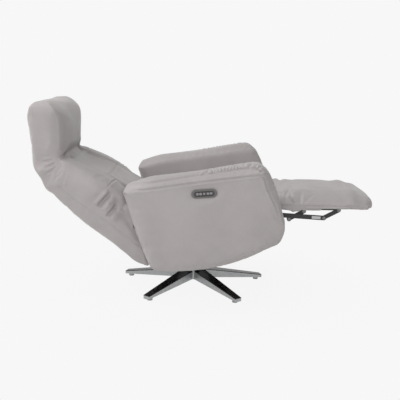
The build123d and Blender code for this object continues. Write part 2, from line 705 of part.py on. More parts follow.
def arm(side):
    low, high = between(ARM_INNER, ARM_OUTER, side)
    slot = ARM_BOARD / 2 + CUSHION_GAP
    slot_low, slot_high = between(ARM_BOARD_Y - slot, ARM_BOARD_Y + slot, side)
    window_low, window_high = between(ARM_INNER - 1, ARM_BOARD_Y, side)
    with BuildPart() as pad:
        with BuildSketch(at_width(SEAT, high)):
            add(arm_outline())
        extrude(amount=high - low)
        with BuildSketch(across(SEAT, ARM_REAR - 20)):
            add(arm_section(side))
        extrude(amount=ARM_FRONT - ARM_REAR + 40, mode=Mode.INTERSECT)
        with BuildSketch(at_width(SEAT, slot_high)):
            arm_board_outline(CUSHION_GAP)
        extrude(amount=slot_high - slot_low, mode=Mode.SUBTRACT)
        with BuildSketch(at_width(SEAT, window_high)):
            with Locations(((BEAM_REAR + BEAM_FRONT) / 2, (BEAM_BOTTOM + BEAM_TOP) / 2)):
                Rectangle(BEAM_FRONT - BEAM_REAR + 2, BEAM_TOP - BEAM_BOTTOM + 2)
        extrude(amount=window_high - window_low, mode=Mode.SUBTRACT)
    return pad


PANEL_FACE_Y = ARM_OUTER - 1.2
PANEL_DEPTH = 12.0


def panel_slot(length, height):
    """Long round-ended outline on the right arm, in line with the arm's top."""
    with Locations(PANEL_AT):
        SlotOverall(length, height, rotation=PANEL_TURN)


left_arm = arm(1)
save(left_arm, "arm_left")
with BuildPart() as right_arm:
    add(arm(-1).part)
    with BuildSketch(at_width(SEAT, -PANEL_FACE_Y + PANEL_DEPTH)):
        panel_slot(PANEL_LENGTH - 6, PANEL_HEIGHT - 6)
    extrude(amount=PANEL_DEPTH + 20, mode=Mode.SUBTRACT)
save(right_arm, "arm_right")

with BuildPart() as arm_boards:
    for side_name, side in SIDES:
        low, high = between(ARM_BOARD_Y - ARM_BOARD / 2, ARM_BOARD_Y + ARM_BOARD / 2, side)
        with BuildSketch(at_width(SEAT, high)):
            arm_board_outline(0)
        extrude(amount=high - low)
save(arm_boards, "arm_boards")

# ---------------------------------------------------------------- control panel
BEZEL_PROUD = 2.5
BUTTON_PLATE_LENGTH = 74.0
BUTTON_PLATE_HEIGHT = 19.0
BEZEL_FRONT = PANEL_FACE_Y + BEZEL_PROUD
BUTTON_FLOOR_Y = BEZEL_FRONT - 5
BUTTON_HEIGHT = 11.0
BUTTON_PLACES = (
    ("back_down", -28.0, 12.0),
    ("back_up", -15.0, 12.0),
    ("home", 0.0, 10.0),
    ("legrest_in", 15.0, 12.0),
    ("legrest_out", 28.0, 12.0),
)
STEM = 2.0
STEM_REACH = 4.5
STEM_BORE = 7.0


def on_panel(along):
    """Place on the panel's long middle line, measured from its middle."""
    turn = radians(PANEL_TURN)
    return (PANEL_AT[0] + along * cos(turn), PANEL_AT[1] + along * sin(turn))


with BuildPart() as control_bezel:
    with BuildSketch(at_width(SEAT, -PANEL_FACE_Y - 0.3)):
        panel_slot(PANEL_LENGTH, PANEL_HEIGHT)
    extrude(amount=BEZEL_PROUD - 0.3)
    with BuildSketch(at_width(SEAT, -PANEL_FACE_Y + PANEL_DEPTH - 1)):
        panel_slot(PANEL_LENGTH - 8, PANEL_HEIGHT - 8)
    extrude(amount=PANEL_DEPTH - 0.7)
    with BuildSketch(at_width(SEAT, -BEZEL_FRONT + 5)):
        panel_slot(BUTTON_PLATE_LENGTH, BUTTON_PLATE_HEIGHT)
    extrude(amount=5, mode=Mode.SUBTRACT)
    with BuildSketch(at_width(SEAT, -BUTTON_FLOOR_Y + STEM_BORE)):
        for button_name, along, length in BUTTON_PLACES:
            with Locations(on_panel(along)):
                Circle(STEM + RUNNING_PLAY)
    extrude(amount=STEM_BORE, mode=Mode.SUBTRACT)
save(control_bezel, "control_bezel")

for button_name, along, length in BUTTON_PLACES:
    with BuildPart() as button:
        with BuildSketch(at_width(SEAT, -BUTTON_FLOOR_Y - BUTTON_TRAVEL - 0.2)):
            with Locations(on_panel(along)):
                if length > BUTTON_HEIGHT:
                    SlotOverall(length, BUTTON_HEIGHT, rotation=PANEL_TURN)
                else:
                    Circle(length / 2)
        extrude(amount=2.8)
        fillet(button.faces().sort_by(Axis.Y)[0].edges(), radius=0.8)
        # guide stem in the bezel
        with BuildSketch(at_width(SEAT, -BUTTON_FLOOR_Y + STEM_REACH)):
            with Locations(on_panel(along)):
                Circle(STEM)
        extrude(amount=STEM_REACH + BUTTON_TRAVEL + 0.2)
    save(button, f"button_{button_name}")

# ---------------------------------------------------------------- actuators
MOTOR_Y = 100.0
MOTOR_RADIUS = 19.0
MOTOR_REACH = 50.0
GEARBOX_LENGTH = 80.0
GEARBOX_WIDTH = 46.0
GEARBOX_HEIGHT = 44.0
ACTUATOR_TUBE_RADIUS = 13.0
ROD_RADIUS = 7.0
YOKE_HALF = 4.0
LEVER_OUT = 8.0                     # from the middle of a rod to each lever beside it
LEVER_ARM = 60.0                    # leg rest lever, from the bar pivot to its pin
LEVER_START = -50.0                 # direction of that lever at this pose
RECLINE_LEVER = 100.0
RECLINE_SWING = RECLINE_TRAVEL / 2


def on_circle(centre, radius, angle):
    return (centre[0] + radius * cos(radians(angle)), centre[1] + radius * sin(radians(angle)))


LEGREST_PIN = on_circle(BAR_PIVOT, LEVER_ARM, LEVER_START)
LEGREST_PIN_FOLDED = on_circle(BAR_PIVOT, LEVER_ARM, LEVER_START - LEGREST_TRAVEL)
RECLINE_PIN = on_circle(RECLINE_AT, RECLINE_LEVER, -90 + RECLINE_SWING)


def actuator(y, height, gearbox_at, tube_end, heading, foot):
    """Gearbox with its motor can, outer tube along the seat and a foot on a cross tube."""
    with BuildPart() as unit:
        with BuildSketch(across(SEAT, gearbox_at)):
            with Locations((y, height)):
                RectangleRounded(GEARBOX_WIDTH, GEARBOX_HEIGHT, 8)
        extrude(amount=-heading * GEARBOX_LENGTH)
        with BuildSketch(across(SEAT, gearbox_at)):
            with Locations((y, height)):
                Circle(ACTUATOR_TUBE_RADIUS)
        extrude(amount=tube_end - gearbox_at)
        # motor can, lying across the seat on the outer side of the gearbox
        low, high = between(MOTOR_Y + 20, MOTOR_Y + 20 + MOTOR_REACH, 1 if y > 0 else -1)
        with BuildSketch(at_width(SEAT, high)):
            with Locations((gearbox_at - heading * GEARBOX_LENGTH / 2, height)):
                Circle(MOTOR_RADIUS)
        extrude(amount=high - low)
        foot_x, foot_z, foot_length = foot
        with BuildSketch(at_width(SEAT, y + 15)):
            with Locations((foot_x, (foot_z + height) / 2)):
                Rectangle(foot_length, height - foot_z)
        extrude(amount=30)
        with BuildSketch(across(SEAT, tube_end)):
            with Locations((y, height)):
                Circle(ROD_RADIUS + 0.5)
        extrude(amount=gearbox_at - tube_end - heading * 12, mode=Mode.SUBTRACT)
    return unit


def rod(y, height, start, pin_at, heading, slot_middle, slot_height, slot_width):
    """Sliding rod with an upright slot for the pin of the lever that it pushes."""
    with BuildPart() as push_rod:
        with BuildSketch(across(SEAT, start)):
            with Locations((y, height)):
                Circle(ROD_RADIUS)
        extrude(amount=pin_at - start - heading * (slot_width / 2 + 1))
        with BuildSketch(at_width(SEAT, y + YOKE_HALF)):
            with Locations((pin_at, slot_middle)):
                RectangleRounded(slot_width + 10, slot_height + 11, 5)
        extrude(amount=2 * YOKE_HALF)
        with BuildSketch(at_width(SEAT, y + ROD_RADIUS + 1)):
            with Locations((pin_at, slot_middle)):
                SlotOverall(slot_height, slot_width, rotation=90)
        extrude(amount=2 * ROD_RADIUS + 2, mode=Mode.SUBTRACT)
    return push_rod


LEGREST_TUBE_END = LEGREST_PIN_FOLDED[0] - 16
LEGREST_GEARBOX = -170.0
REAR_TUBE_TOP = REAR_TUBE[1] + TUBE / 2
FRONT_TUBE_TOP = FRONT_TUBE[1] + TUBE / 2
legrest_motor = actuator(-MOTOR_Y, LEGREST_PIN[1], LEGREST_GEARBOX, LEGREST_TUBE_END, 1,
                         (REAR_TUBE[0] + 15, REAR_TUBE_TOP, 54))
save(legrest_motor, "legrest_motor")
LEGREST_SLOT_LOW = BAR_PIVOT[1] - LEVER_ARM - RIVET_RADIUS - 1.5
LEGREST_SLOT_HIGH = LEGREST_PIN[1] + RIVET_RADIUS + 1.5
legrest_rod = rod(-MOTOR_Y, LEGREST_PIN[1], LEGREST_TUBE_END - 20, LEGREST_PIN[0], 1,
                  (LEGREST_SLOT_LOW + LEGREST_SLOT_HIGH) / 2, LEGREST_SLOT_HIGH - LEGREST_SLOT_LOW, 11)
save(legrest_rod, "legrest_rod")

RECLINE_TUBE_END = RECLINE_PIN[0] + 16
RECLINE_GEARBOX = -130.0
recline_motor = actuator(MOTOR_Y, RECLINE_PIN[1], RECLINE_GEARBOX, RECLINE_TUBE_END, -1,
                         (FRONT_TUBE[0] - 26, FRONT_TUBE_TOP, 76))
save(recline_motor, "recline_motor")
RECLINE_SLOT_LOW = RECLINE_AT[1] - RECLINE_LEVER - RIVET_RADIUS - 0.8
RECLINE_SLOT_HIGH = RECLINE_PIN[1] + RIVET_RADIUS + 0.8
recline_rod = rod(MOTOR_Y, RECLINE_PIN[1], RECLINE_TUBE_END + 76, RECLINE_PIN[0], -1,
                  (RECLINE_SLOT_LOW + RECLINE_SLOT_HIGH) / 2, RECLINE_SLOT_HIGH - RECLINE_SLOT_LOW, 9)
save(recline_rod, "recline_rod")

# Closed box with the power supply, clipped on the rear cross tube
with BuildPart() as control_unit:
    with BuildSketch(at_width(SEAT, 210)):
        with Locations((REAR_TUBE[0], REAR_TUBE_TOP + 17)):
            RectangleRounded(60, 34, 5)
    extrude(amount=70)
save(control_unit, "control_unit")

# ---------------------------------------------------------------- leg rest linkage


def from_frame(frame, point):
    """A point in the lines of a side frame as (X, Z) of the chair."""
    place = frame.from_local_coords((point[0], point[1], 0))
    return (place.X, place.Z)


BAR_START = from_frame(SEAT, BAR_PIVOT)
BAR_BEND = (370.0, 392.0)
LINK_RUN = (PAD_FRONT_RIVET[0] - BAR_END[0], PAD_FRONT_RIVET[1] - BAR_END[1])
PAD_REAR_RIVET = (BAR_REAR_RIVET[0] + LINK_RUN[0], BAR_REAR_RIVET[1] + LINK_RUN[1])
DRIVE_TUBE_AT = from_frame(SEAT, on_circle(BAR_PIVOT, 26, -80))
DRIVE_TUBE_RADIUS = 9.0

for side_name, side in SIDES:
    low, high = between(BAR_Y, BAR_Y + STEEL, side)
    with BuildPart() as long_bar:
        with BuildSketch(at_width(LEVEL, high)):
            strip((BAR_START, BAR_BEND, BAR_END), LINK_WIDTH)
            strip(((BAR_REAR_RIVET[0], BAR_REAR_RIVET[1] + 13), BAR_REAR_RIVET), LINK_WIDTH)
            strip((BAR_START, DRIVE_TUBE_AT), LINK_WIDTH)
            with Locations(BAR_START):
                Circle(13)
                Circle(RIVET_RADIUS * 1.5 + RUNNING_PLAY, mode=Mode.SUBTRACT)
            with Locations(BAR_REAR_RIVET, BAR_END):
                Circle(RIVET_RADIUS + RUNNING_PLAY, mode=Mode.SUBTRACT)
        extrude(amount=high - low)
    save(long_bar, f"long_bar_{side_name}")

bar_rivets = []
for side_name, side in SIDES:
    low, high = between(ELBOW_Y, BAR_Y + STEEL, side)
    for place in (BAR_REAR_RIVET, BAR_END):
        bar_rivets.append(pin(LEVEL, place, RIVET_RADIUS, low, high, RIVET_HEAD_RADIUS, 1.5))

for where, foot, head in (("front", BAR_END, PAD_FRONT_RIVET),
                          ("rear", BAR_REAR_RIVET, PAD_REAR_RIVET)):
    elbows = []
    for side_name, side in SIDES:
        low, high = between(ELBOW_Y, ELBOW_Y + STEEL, side)
        elbows.append(flat_link(LEVEL, (foot, head), LINK_WIDTH - 2, low, high, (foot, head), RIVET_HOLE))
    save(joined(elbows), f"{where}_links")

# Tube between the two bars, with the lever that the leg rest actuator pushes
LEGREST_PIN_XZ = from_frame(SEAT, LEGREST_PIN)
with BuildPart() as drive_tube:
    with BuildSketch(at_width(LEVEL, BAR_Y)):
        with Locations(DRIVE_TUBE_AT):
            Circle(DRIVE_TUBE_RADIUS)
            Circle(DRIVE_TUBE_RADIUS - 2, mode=Mode.SUBTRACT)
    extrude(amount=2 * BAR_Y)
    for low in (LEVER_OUT, -LEVER_OUT - LEVER_THICKNESS):
        with BuildSketch(at_width(LEVEL, -MOTOR_Y + low + LEVER_THICKNESS)):
            strip((DRIVE_TUBE_AT, LEGREST_PIN_XZ), 18)
            with Locations(DRIVE_TUBE_AT):
                Circle(DRIVE_TUBE_RADIUS - 0.5, mode=Mode.SUBTRACT)
            with Locations(LEGREST_PIN_XZ):
                Circle(RIVET_RADIUS, mode=Mode.SUBTRACT)
        extrude(amount=LEVER_THICKNESS)
save(drive_tube, "drive_tube")
bar_rivets.append(pin(LEVEL, LEGREST_PIN_XZ, RIVET_RADIUS, -MOTOR_Y - LEVER_OUT - LEVER_THICKNESS,
                      -MOTOR_Y + LEVER_OUT + LEVER_THICKNESS, RIVET_HEAD_RADIUS, RIVET_HEAD))
save(joined(bar_rivets), "bar_rivets")

# ---------------------------------------------------------------- leg rest
PAD_LENGTH = PAD_FRONT - PAD_REAR
PAD_EDGE_TOP = 442.0
SKIRT_DROP = 10.0                   # how far the sides hang below the pad at its rear
SKIRT_INNER = 245.0
FLAP_REAR = 335.0
BRACKET_FLANGE = 2.5
BOARD_BOTTOM = PAD_BOTTOM + 5.0
with BuildPart() as legrest_board:
    with BuildSketch(Plane.XY.offset(BOARD_BOTTOM)):
        with Locations(((PAD_REAR + PAD_FRONT) / 2 - 12, 0)):
            RectangleRounded(PAD_LENGTH - 64, 2 * PAD_HALF_WIDTH - 32, 30)
    extrude(amount=BOARD_THICKNESS)
save(legrest_board, "legrest_board")

brackets = []
for side_name, side in SIDES:
    low, high = between(EAR_Y, EAR_Y + STEEL, side)
    with BuildPart() as bracket:
        with BuildSketch(at_width(LEVEL, high)):
            rear, front = PAD_REAR_RIVET, PAD_FRONT_RIVET
            with BuildLine():
                Polyline((rear[0] - 9, rear[1]), (rear[0] - 9, BOARD_BOTTOM), (front[0] + 14, BOARD_BOTTOM),
                         (front[0] + 9, front[1]), (front[0] - 20, front[1] - 2),
                         (rear[0] + 20, rear[1] + 6), close=True)
            make_face()
            with Locations(rear, front):
                Circle(9)
            with Locations((rear[0], BOARD_BOTTOM + 9), (front[0], BOARD_BOTTOM + 9)):
                Rectangle(40, 18, mode=Mode.SUBTRACT)
            with Locations(rear, front):
                Circle(RIVET_RADIUS + 0.02, mode=Mode.SUBTRACT)
        extrude(amount=high - low)
        flange_low, flange_high = between(EAR_Y - 22, EAR_Y + STEEL, side)
        with BuildSketch(Plane.XY.offset(BOARD_BOTTOM - BRACKET_FLANGE)):
            with Locations(((rear[0] + front[0]) / 2, (flange_low + flange_high) / 2)):
                Rectangle(front[0] - rear[0] + 18, flange_high - flange_low)
        extrude(amount=BRACKET_FLANGE)
    brackets.append(bracket)
save(joined(brackets), "legrest_brackets")

pad_rivets = []
for side_name, side in SIDES:
    low, high = between(EAR_Y, ELBOW_Y + STEEL, side)
    for place in (PAD_REAR_RIVET, PAD_FRONT_RIVET):
        pad_rivets.append(pin(LEVEL, place, RIVET_RADIUS, low, high, RIVET_HEAD_RADIUS, 1.5))
save(joined(pad_rivets), "legrest_rivets")

with BuildPart() as legrest_cushion:
    with BuildSketch(at_width(LEVEL, PAD_HALF_WIDTH)):
        with BuildLine():
            ThreePointArc((PAD_REAR, PAD_TOP - 14), (PAD_REAR + 30, PAD_TOP - 2), (PAD_REAR + 80, PAD_TOP))
            Line((PAD_REAR + 80, PAD_TOP), (PAD_FRONT - 120, PAD_TOP + 1))
            ThreePointArc((PAD_FRONT - 120, PAD_TOP + 1), (PAD_FRONT - 34, PAD_TOP - 11),
                          (PAD_FRONT, PAD_TOP - 36))
            ThreePointArc((PAD_FRONT, PAD_TOP - 36), (PAD_FRONT - 4, PAD_TOP - 46),
                          (PAD_FRONT - 20, PAD_BOTTOM + 3))
            Line((PAD_FRONT - 20, PAD_BOTTOM + 3), (PAD_FRONT - 150, PAD_BOTTOM))
            Line((PAD_FRONT - 150, PAD_BOTTOM), (PAD_REAR, PAD_BOTTOM - SKIRT_DROP))
            Line((PAD_REAR, PAD_BOTTOM - SKIRT_DROP), (PAD_REAR, PAD_TOP - 14))
        make_face()
    extrude(amount=2 * PAD_HALF_WIDTH)
    with BuildSketch(Plane.XY.offset(PAD_BOTTOM - 20)):
        with BuildLine():
            half = PAD_HALF_WIDTH
            Polyline((PAD_REAR, half - 8), (PAD_REAR, -half + 8))
            ThreePointArc((PAD_REAR, -half + 8), (PAD_REAR + PAD_LENGTH / 2, -half),
                          (PAD_FRONT - 90, -half + 3))
            ThreePointArc((PAD_FRONT - 90, -half + 3), (PAD_FRONT - 36, -half + 22),
                          (PAD_FRONT - 14, -half + 80))
            ThreePointArc((PAD_FRONT - 14, -half + 80), (PAD_FRONT, 0), (PAD_FRONT - 14, half - 80))
            ThreePointArc((PAD_FRONT - 14, half - 80), (PAD_FRONT - 36, half - 22),
                          (PAD_FRONT - 90, half - 3))
            ThreePointArc((PAD_FRONT - 90, half - 3), (PAD_REAR + PAD_LENGTH / 2, half), (PAD_REAR, half - 8))
        make_face()
    extrude(amount=PAD_TOP - PAD_BOTTOM + 40, mode=Mode.INTERSECT)
    # crown across the pad above the side seams
    with BuildSketch(across(side_frame(0, 0, 0), PAD_REAR - 5)):
        with BuildLine():
            Polyline((half, PAD_EDGE_TOP), (half - 3, PAD_BOTTOM - 12), (-half + 3, PAD_BOTTOM - 12),
                     (-half, PAD_EDGE_TOP))
            ThreePointArc((-half, PAD_EDGE_TOP), (-half + 60, PAD_TOP - 12), (0, PAD_TOP + 1))
            ThreePointArc((0, PAD_TOP + 1), (half - 60, PAD_TOP - 12), (half, PAD_EDGE_TOP))
        make_face()
    extrude(amount=PAD_LENGTH + 10, mode=Mode.INTERSECT)
    # hollow underneath for the board and its brackets
    with BuildSketch(Plane.XY.offset(PAD_BOTTOM - 20)):
        with Locations(((PAD_REAR + PAD_FRONT) / 2 - 12, 0)):
            RectangleRounded(PAD_LENGTH - 62, 2 * SKIRT_INNER, 31)
    extrude(amount=20 + BOARD_BOTTOM + BOARD_THICKNESS + 0.5 - PAD_BOTTOM, mode=Mode.SUBTRACT)
    # between the sides nothing hangs below the pad
    with BuildSketch(Plane.XY.offset(PAD_BOTTOM - 20)):
        with Locations((PAD_REAR + 20, 0)):
            Rectangle(60, 2 * SKIRT_INNER)
    extrude(amount=20, mode=Mode.SUBTRACT)
save(legrest_cushion, "legrest_cushion")

# Soft flap that covers the gap to the seat; it is sewn to the rear edge of the pad
with BuildPart() as legrest_flap:
    with BuildSketch(at_width(LEVEL, PAD_HALF_WIDTH - 10)):
        with BuildLine():
            ThreePointArc((FLAP_REAR, 446), ((FLAP_REAR + PAD_REAR) / 2, 461), (PAD_REAR - 0.3, 459))
            Line((PAD_REAR - 0.3, 459), (PAD_REAR - 0.3, 434))
            Line((PAD_REAR - 0.3, 434), (FLAP_REAR, 432))
            Line((FLAP_REAR, 432), (FLAP_REAR, 446))
        make_face()
    extrude(amount=2 * PAD_HALF_WIDTH - 20)
save(legrest_flap, "legrest_flap")

# Plain rating plate, blank, on the outer face of the right bar
with BuildPart() as bar_plate:
    with BuildSketch(at_width(LEVEL, -BAR_Y - STEEL)):
        with Locations((528, 385.4)):
            Rectangle(38, 12, rotation=-2.4)
    extrude(amount=0.6)
save(bar_plate, "bar_plate")

# ---------------------------------------------------------------- back
BACK_WALL_INNER = 268.0
PANEL_FRONT_U = -60.0
PANEL_REAR_U = -75.0
PANEL_FOOT = 85.0
HEAD_AT = in_frame(BACK, HEAD_PIVOT)
HEAD_CLEAR = HEAD_KNUCKLE + KNUCKLE_GAP
PANEL_HEAD = HEAD_AT[1] - HEAD_CLEAR - 4.5
BACK_TAIL = -144.0
SHELL_INNER_U = -120.0
SHELL_ROUND = 13.0
BOLSTER_ROUND = 20.0
BOLSTER_INNER = 170.0
CENTRE_HALF = 166.0
ROLL_HALF = BACK_HALF_WIDTH - 2
ROLL_TOP = 103.5
ROLL_CUT = (27.0, 2.0)              # inner corner of the roll, clear of the side plates


def head_roll_cut():
    """Cylinder about the headrest pivot, across the chair, that the tops of the back leave free."""
    with BuildPart() as roll:
        with BuildSketch(at_width(BACK, BACK_HALF_WIDTH + 5)):
            with Locations(HEAD_AT):
                Circle(HEAD_CLEAR)
        extrude(amount=2 * BACK_HALF_WIDTH + 10)
    return roll.part


head_roll = head_roll_cut()

with BuildPart() as back_shell:
    with BuildSketch(at_width(BACK, BACK_HALF_WIDTH)):
        with BuildLine():
            Spline((-138, BACK_TAIL), (-143, -83), (-147, 45), (-155, 177), (-149, 340), (-138, 434))
            Line((-138, 434), (-60, 470))
            Line((-60, 470), (-60, -90))
            Line((-60, -90), (-84, BACK_TAIL))
            Line((-84, BACK_TAIL), (-138, BACK_TAIL))
        make_face()
    extrude(amount=2 * BACK_HALF_WIDTH)
    # soft corners along both sides of the rear
    rear_face = back_shell.faces().sort_by(Axis((0, 0, 0), BACK.x_dir))[0]
    side_edges = [edge for edge in rear_face.edges() if abs(edge.center().Y) > BACK_HALF_WIDTH - 1]
    fillet(side_edges, radius=SHELL_ROUND)
    with BuildSketch(at_width(BACK, BACK_WALL_INNER)):
        with BuildLine():
            Polyline((SHELL_INNER_U, BACK_TAIL - 5), (SHELL_INNER_U, 480), (-50, 480),
                     (-50, BACK_TAIL - 5), close=True)
        make_face()
    extrude(amount=2 * BACK_WALL_INNER, mode=Mode.SUBTRACT)
    add(head_roll, mode=Mode.SUBTRACT)
save(back_shell, "back_shell")

with BuildPart() as back_panel:
    with BuildSketch(across(BACK, PANEL_REAR_U)):
        with Locations((0, (PANEL_FOOT + PANEL_HEAD) / 2)):
            Rectangle(2 * BACK_WALL_INNER, PANEL_HEAD - PANEL_FOOT)
    extrude(amount=PANEL_FRONT_U - PANEL_REAR_U)
save(back_panel, "back_panel")

ARM_STRIP = 25.0
with BuildPart() as back_arms:
    for side_name, side in SIDES:
        low, high = between(BAR_Y, BAR_Y + STEEL, side)
        with BuildSketch(at_width(BACK, high)):
            strip(((0, 0), (PANEL_REAR_U - ARM_STRIP / 2, PANEL_FOOT - 10),
                   (PANEL_REAR_U - ARM_STRIP / 2, 300)), ARM_STRIP)
            Circle(20)
            Circle(RIVET_RADIUS * 1.5 + RUNNING_PLAY, mode=Mode.SUBTRACT)
        extrude(amount=high - low)
save(back_arms, "back_arms")

LEVER_TIP_AT = in_frame(BACK, LEVER_TIP)
RECLINE_PIN_AT = in_frame(BACK, from_frame(SEAT, RECLINE_PIN))
RECLINE_LEVERS = (
    (MOTOR_Y + LEVER_OUT, RECLINE_PIN_AT),
    (MOTOR_Y - LEVER_OUT - LEVER_THICKNESS, RECLINE_PIN_AT),
    (LEVER_PAIR_Y, LEVER_TIP_AT),
    (-LEVER_PAIR_Y - LEVER_THICKNESS, LEVER_TIP_AT),
)
with BuildPart() as torque_tube:
    with BuildSketch(at_width(BACK, BAR_Y)):
        Circle(TORQUE_TUBE_RADIUS)
        Circle(TORQUE_TUBE_RADIUS - TORQUE_TUBE_WALL, mode=Mode.SUBTRACT)
    extrude(amount=2 * BAR_Y)
    for low, tip in RECLINE_LEVERS:
        with BuildSketch(at_width(BACK, low + LEVER_THICKNESS)):
            strip(((0, 0), tip), 18)
            Circle(TORQUE_TUBE_RADIUS - 1, mode=Mode.SUBTRACT)
            with Locations(tip):
                Circle(RIVET_RADIUS, mode=Mode.SUBTRACT)
        extrude(amount=LEVER_THICKNESS)
save(torque_tube, "torque_tube")

lever_pins = [
    pin(BACK, LEVER_TIP_AT, RIVET_RADIUS, -LEVER_PAIR_Y - LEVER_THICKNESS,
        LEVER_PAIR_Y + LEVER_THICKNESS, RIVET_HEAD_RADIUS, RIVET_HEAD),
    pin(BACK, RECLINE_PIN_AT, RIVET_RADIUS, MOTOR_Y - LEVER_OUT - LEVER_THICKNESS,
        MOTOR_Y + LEVER_OUT + LEVER_THICKNESS, RIVET_HEAD_RADIUS, RIVET_HEAD),
]
save(joined(lever_pins), "back_lever_pins")

with BuildPart() as back_cushion:
    with BuildSketch(at_width(BACK, CENTRE_HALF)):
        with BuildLine():
            roll_low = on_circle((0, 0), KNUCKLE_RADIUS, -20)
            roll_high = on_circle((0, 0), KNUCKLE_RADIUS, 45)
            ThreePointArc(roll_low, (KNUCKLE_RADIUS, 0), roll_high)
            Line(roll_high, (60, 110))
            Spline((60, 110), (46, 181), (30, 258), (-3, 349), (-22, 435))
            Polyline((-22, 435), (-59, 450), (-59, 24), (ROLL_CUT[0], 24), ROLL_CUT, roll_low)
        make_face()
    extrude(amount=2 * CENTRE_HALF)
    add(head_roll, mode=Mode.SUBTRACT)
    # the roll at its foot reaches under the bolsters on both sides
    with BuildSketch(at_width(BACK, ROLL_HALF)):
        with BuildLine():
            roll_top = on_circle((0, 0), KNUCKLE_RADIUS, 52)
            ThreePointArc(roll_low, (KNUCKLE_RADIUS, 0), roll_top)
            Polyline(roll_top, (26, ROLL_TOP), (-59, ROLL_TOP), (-59, 24), (ROLL_CUT[0], 24), ROLL_CUT,
                     roll_low)
        make_face()
    extrude(amount=2 * ROLL_HALF)
    # slots for the back's arms
    for side_name, side in SIDES:
        low, high = between(BAR_Y - 0.5, BAR_Y + STEEL + 0.5, side)
        with BuildSketch(at_width(BACK, high)):
            strip(((0, 0), (PANEL_REAR_U - ARM_STRIP / 2, PANEL_FOOT - 10)), ARM_STRIP + 2)
        extrude(amount=high - low, mode=Mode.SUBTRACT)
save(back_cushion, "back_cushion")

for side_name, side in SIDES:
    low, high = between(BOLSTER_INNER, BACK_HALF_WIDTH, side)
    with BuildPart() as bolster:
        with BuildSketch(at_width(BACK, high)):
            with BuildLine():
                Line((-59.5, 104), (-59.5, 455))
                Line((-59.5, 455), (-20, 455))
                Spline((-20, 455), (12, 354), (33, 275), (40, 225), (41, 160), (30, 122), (-8, 104),
                       tangents=[(0.3, -1), (-1, -0.1)])
                Line((-8, 104), (-59.5, 104))
            make_face()
        extrude(amount=high - low)
        # round the front along both long sides
        front_face = bolster.faces().sort_by(Axis((0, 0, 0), BACK.x_dir))[-1]
        long_edges = [edge for edge in front_face.edges() if edge.length > 150]
        fillet(long_edges, radius=BOLSTER_ROUND)
        add(head_roll, mode=Mode.SUBTRACT)
    save(bolster, f"back_bolster_{side_name}")

HINGE_Y = 150.0
HINGE_THICKNESS = 5.0
AXLE_RADIUS = 8.0
AXLE_HALF = 170.0
with BuildPart() as hinge_plates:
    for side_name, side in SIDES:
        low, high = between(HINGE_Y, HINGE_Y + HINGE_THICKNESS, side)
        with BuildSketch(at_width(BACK, high)):
            strip(((PANEL_REAR_U - 14, 300), (PANEL_REAR_U - 14, PANEL_HEAD + 6), HEAD_AT), 28)
            with Locations(HEAD_AT):
                Circle(AXLE_RADIUS + RUNNING_PLAY, mode=Mode.SUBTRACT)
        extrude(amount=high - low)
save(hinge_plates, "headrest_hinge_plates")

# ---------------------------------------------------------------- headrest
HEAD_STRAP_Y = 120.0
HEAD_TOP = 278.0
HEAD_FRONT = 67.0
HEAD_SIDE_FRONT = 37.0
HEAD_BACK = -77.0
with BuildPart() as headrest_frame:
    with BuildSketch(at_width(HEAD, AXLE_HALF)):
        Circle(AXLE_RADIUS)
    extrude(amount=2 * AXLE_HALF)
    with BuildSketch(at_width(HEAD, HEAD_STRAP_Y + 15)):
        strip(((0, 0), (-14, 230)), 12)
        Circle(AXLE_RADIUS - 1, mode=Mode.SUBTRACT)
    extrude(amount=2 * (HEAD_STRAP_Y + 15))
save(headrest_frame, "headrest_frame")

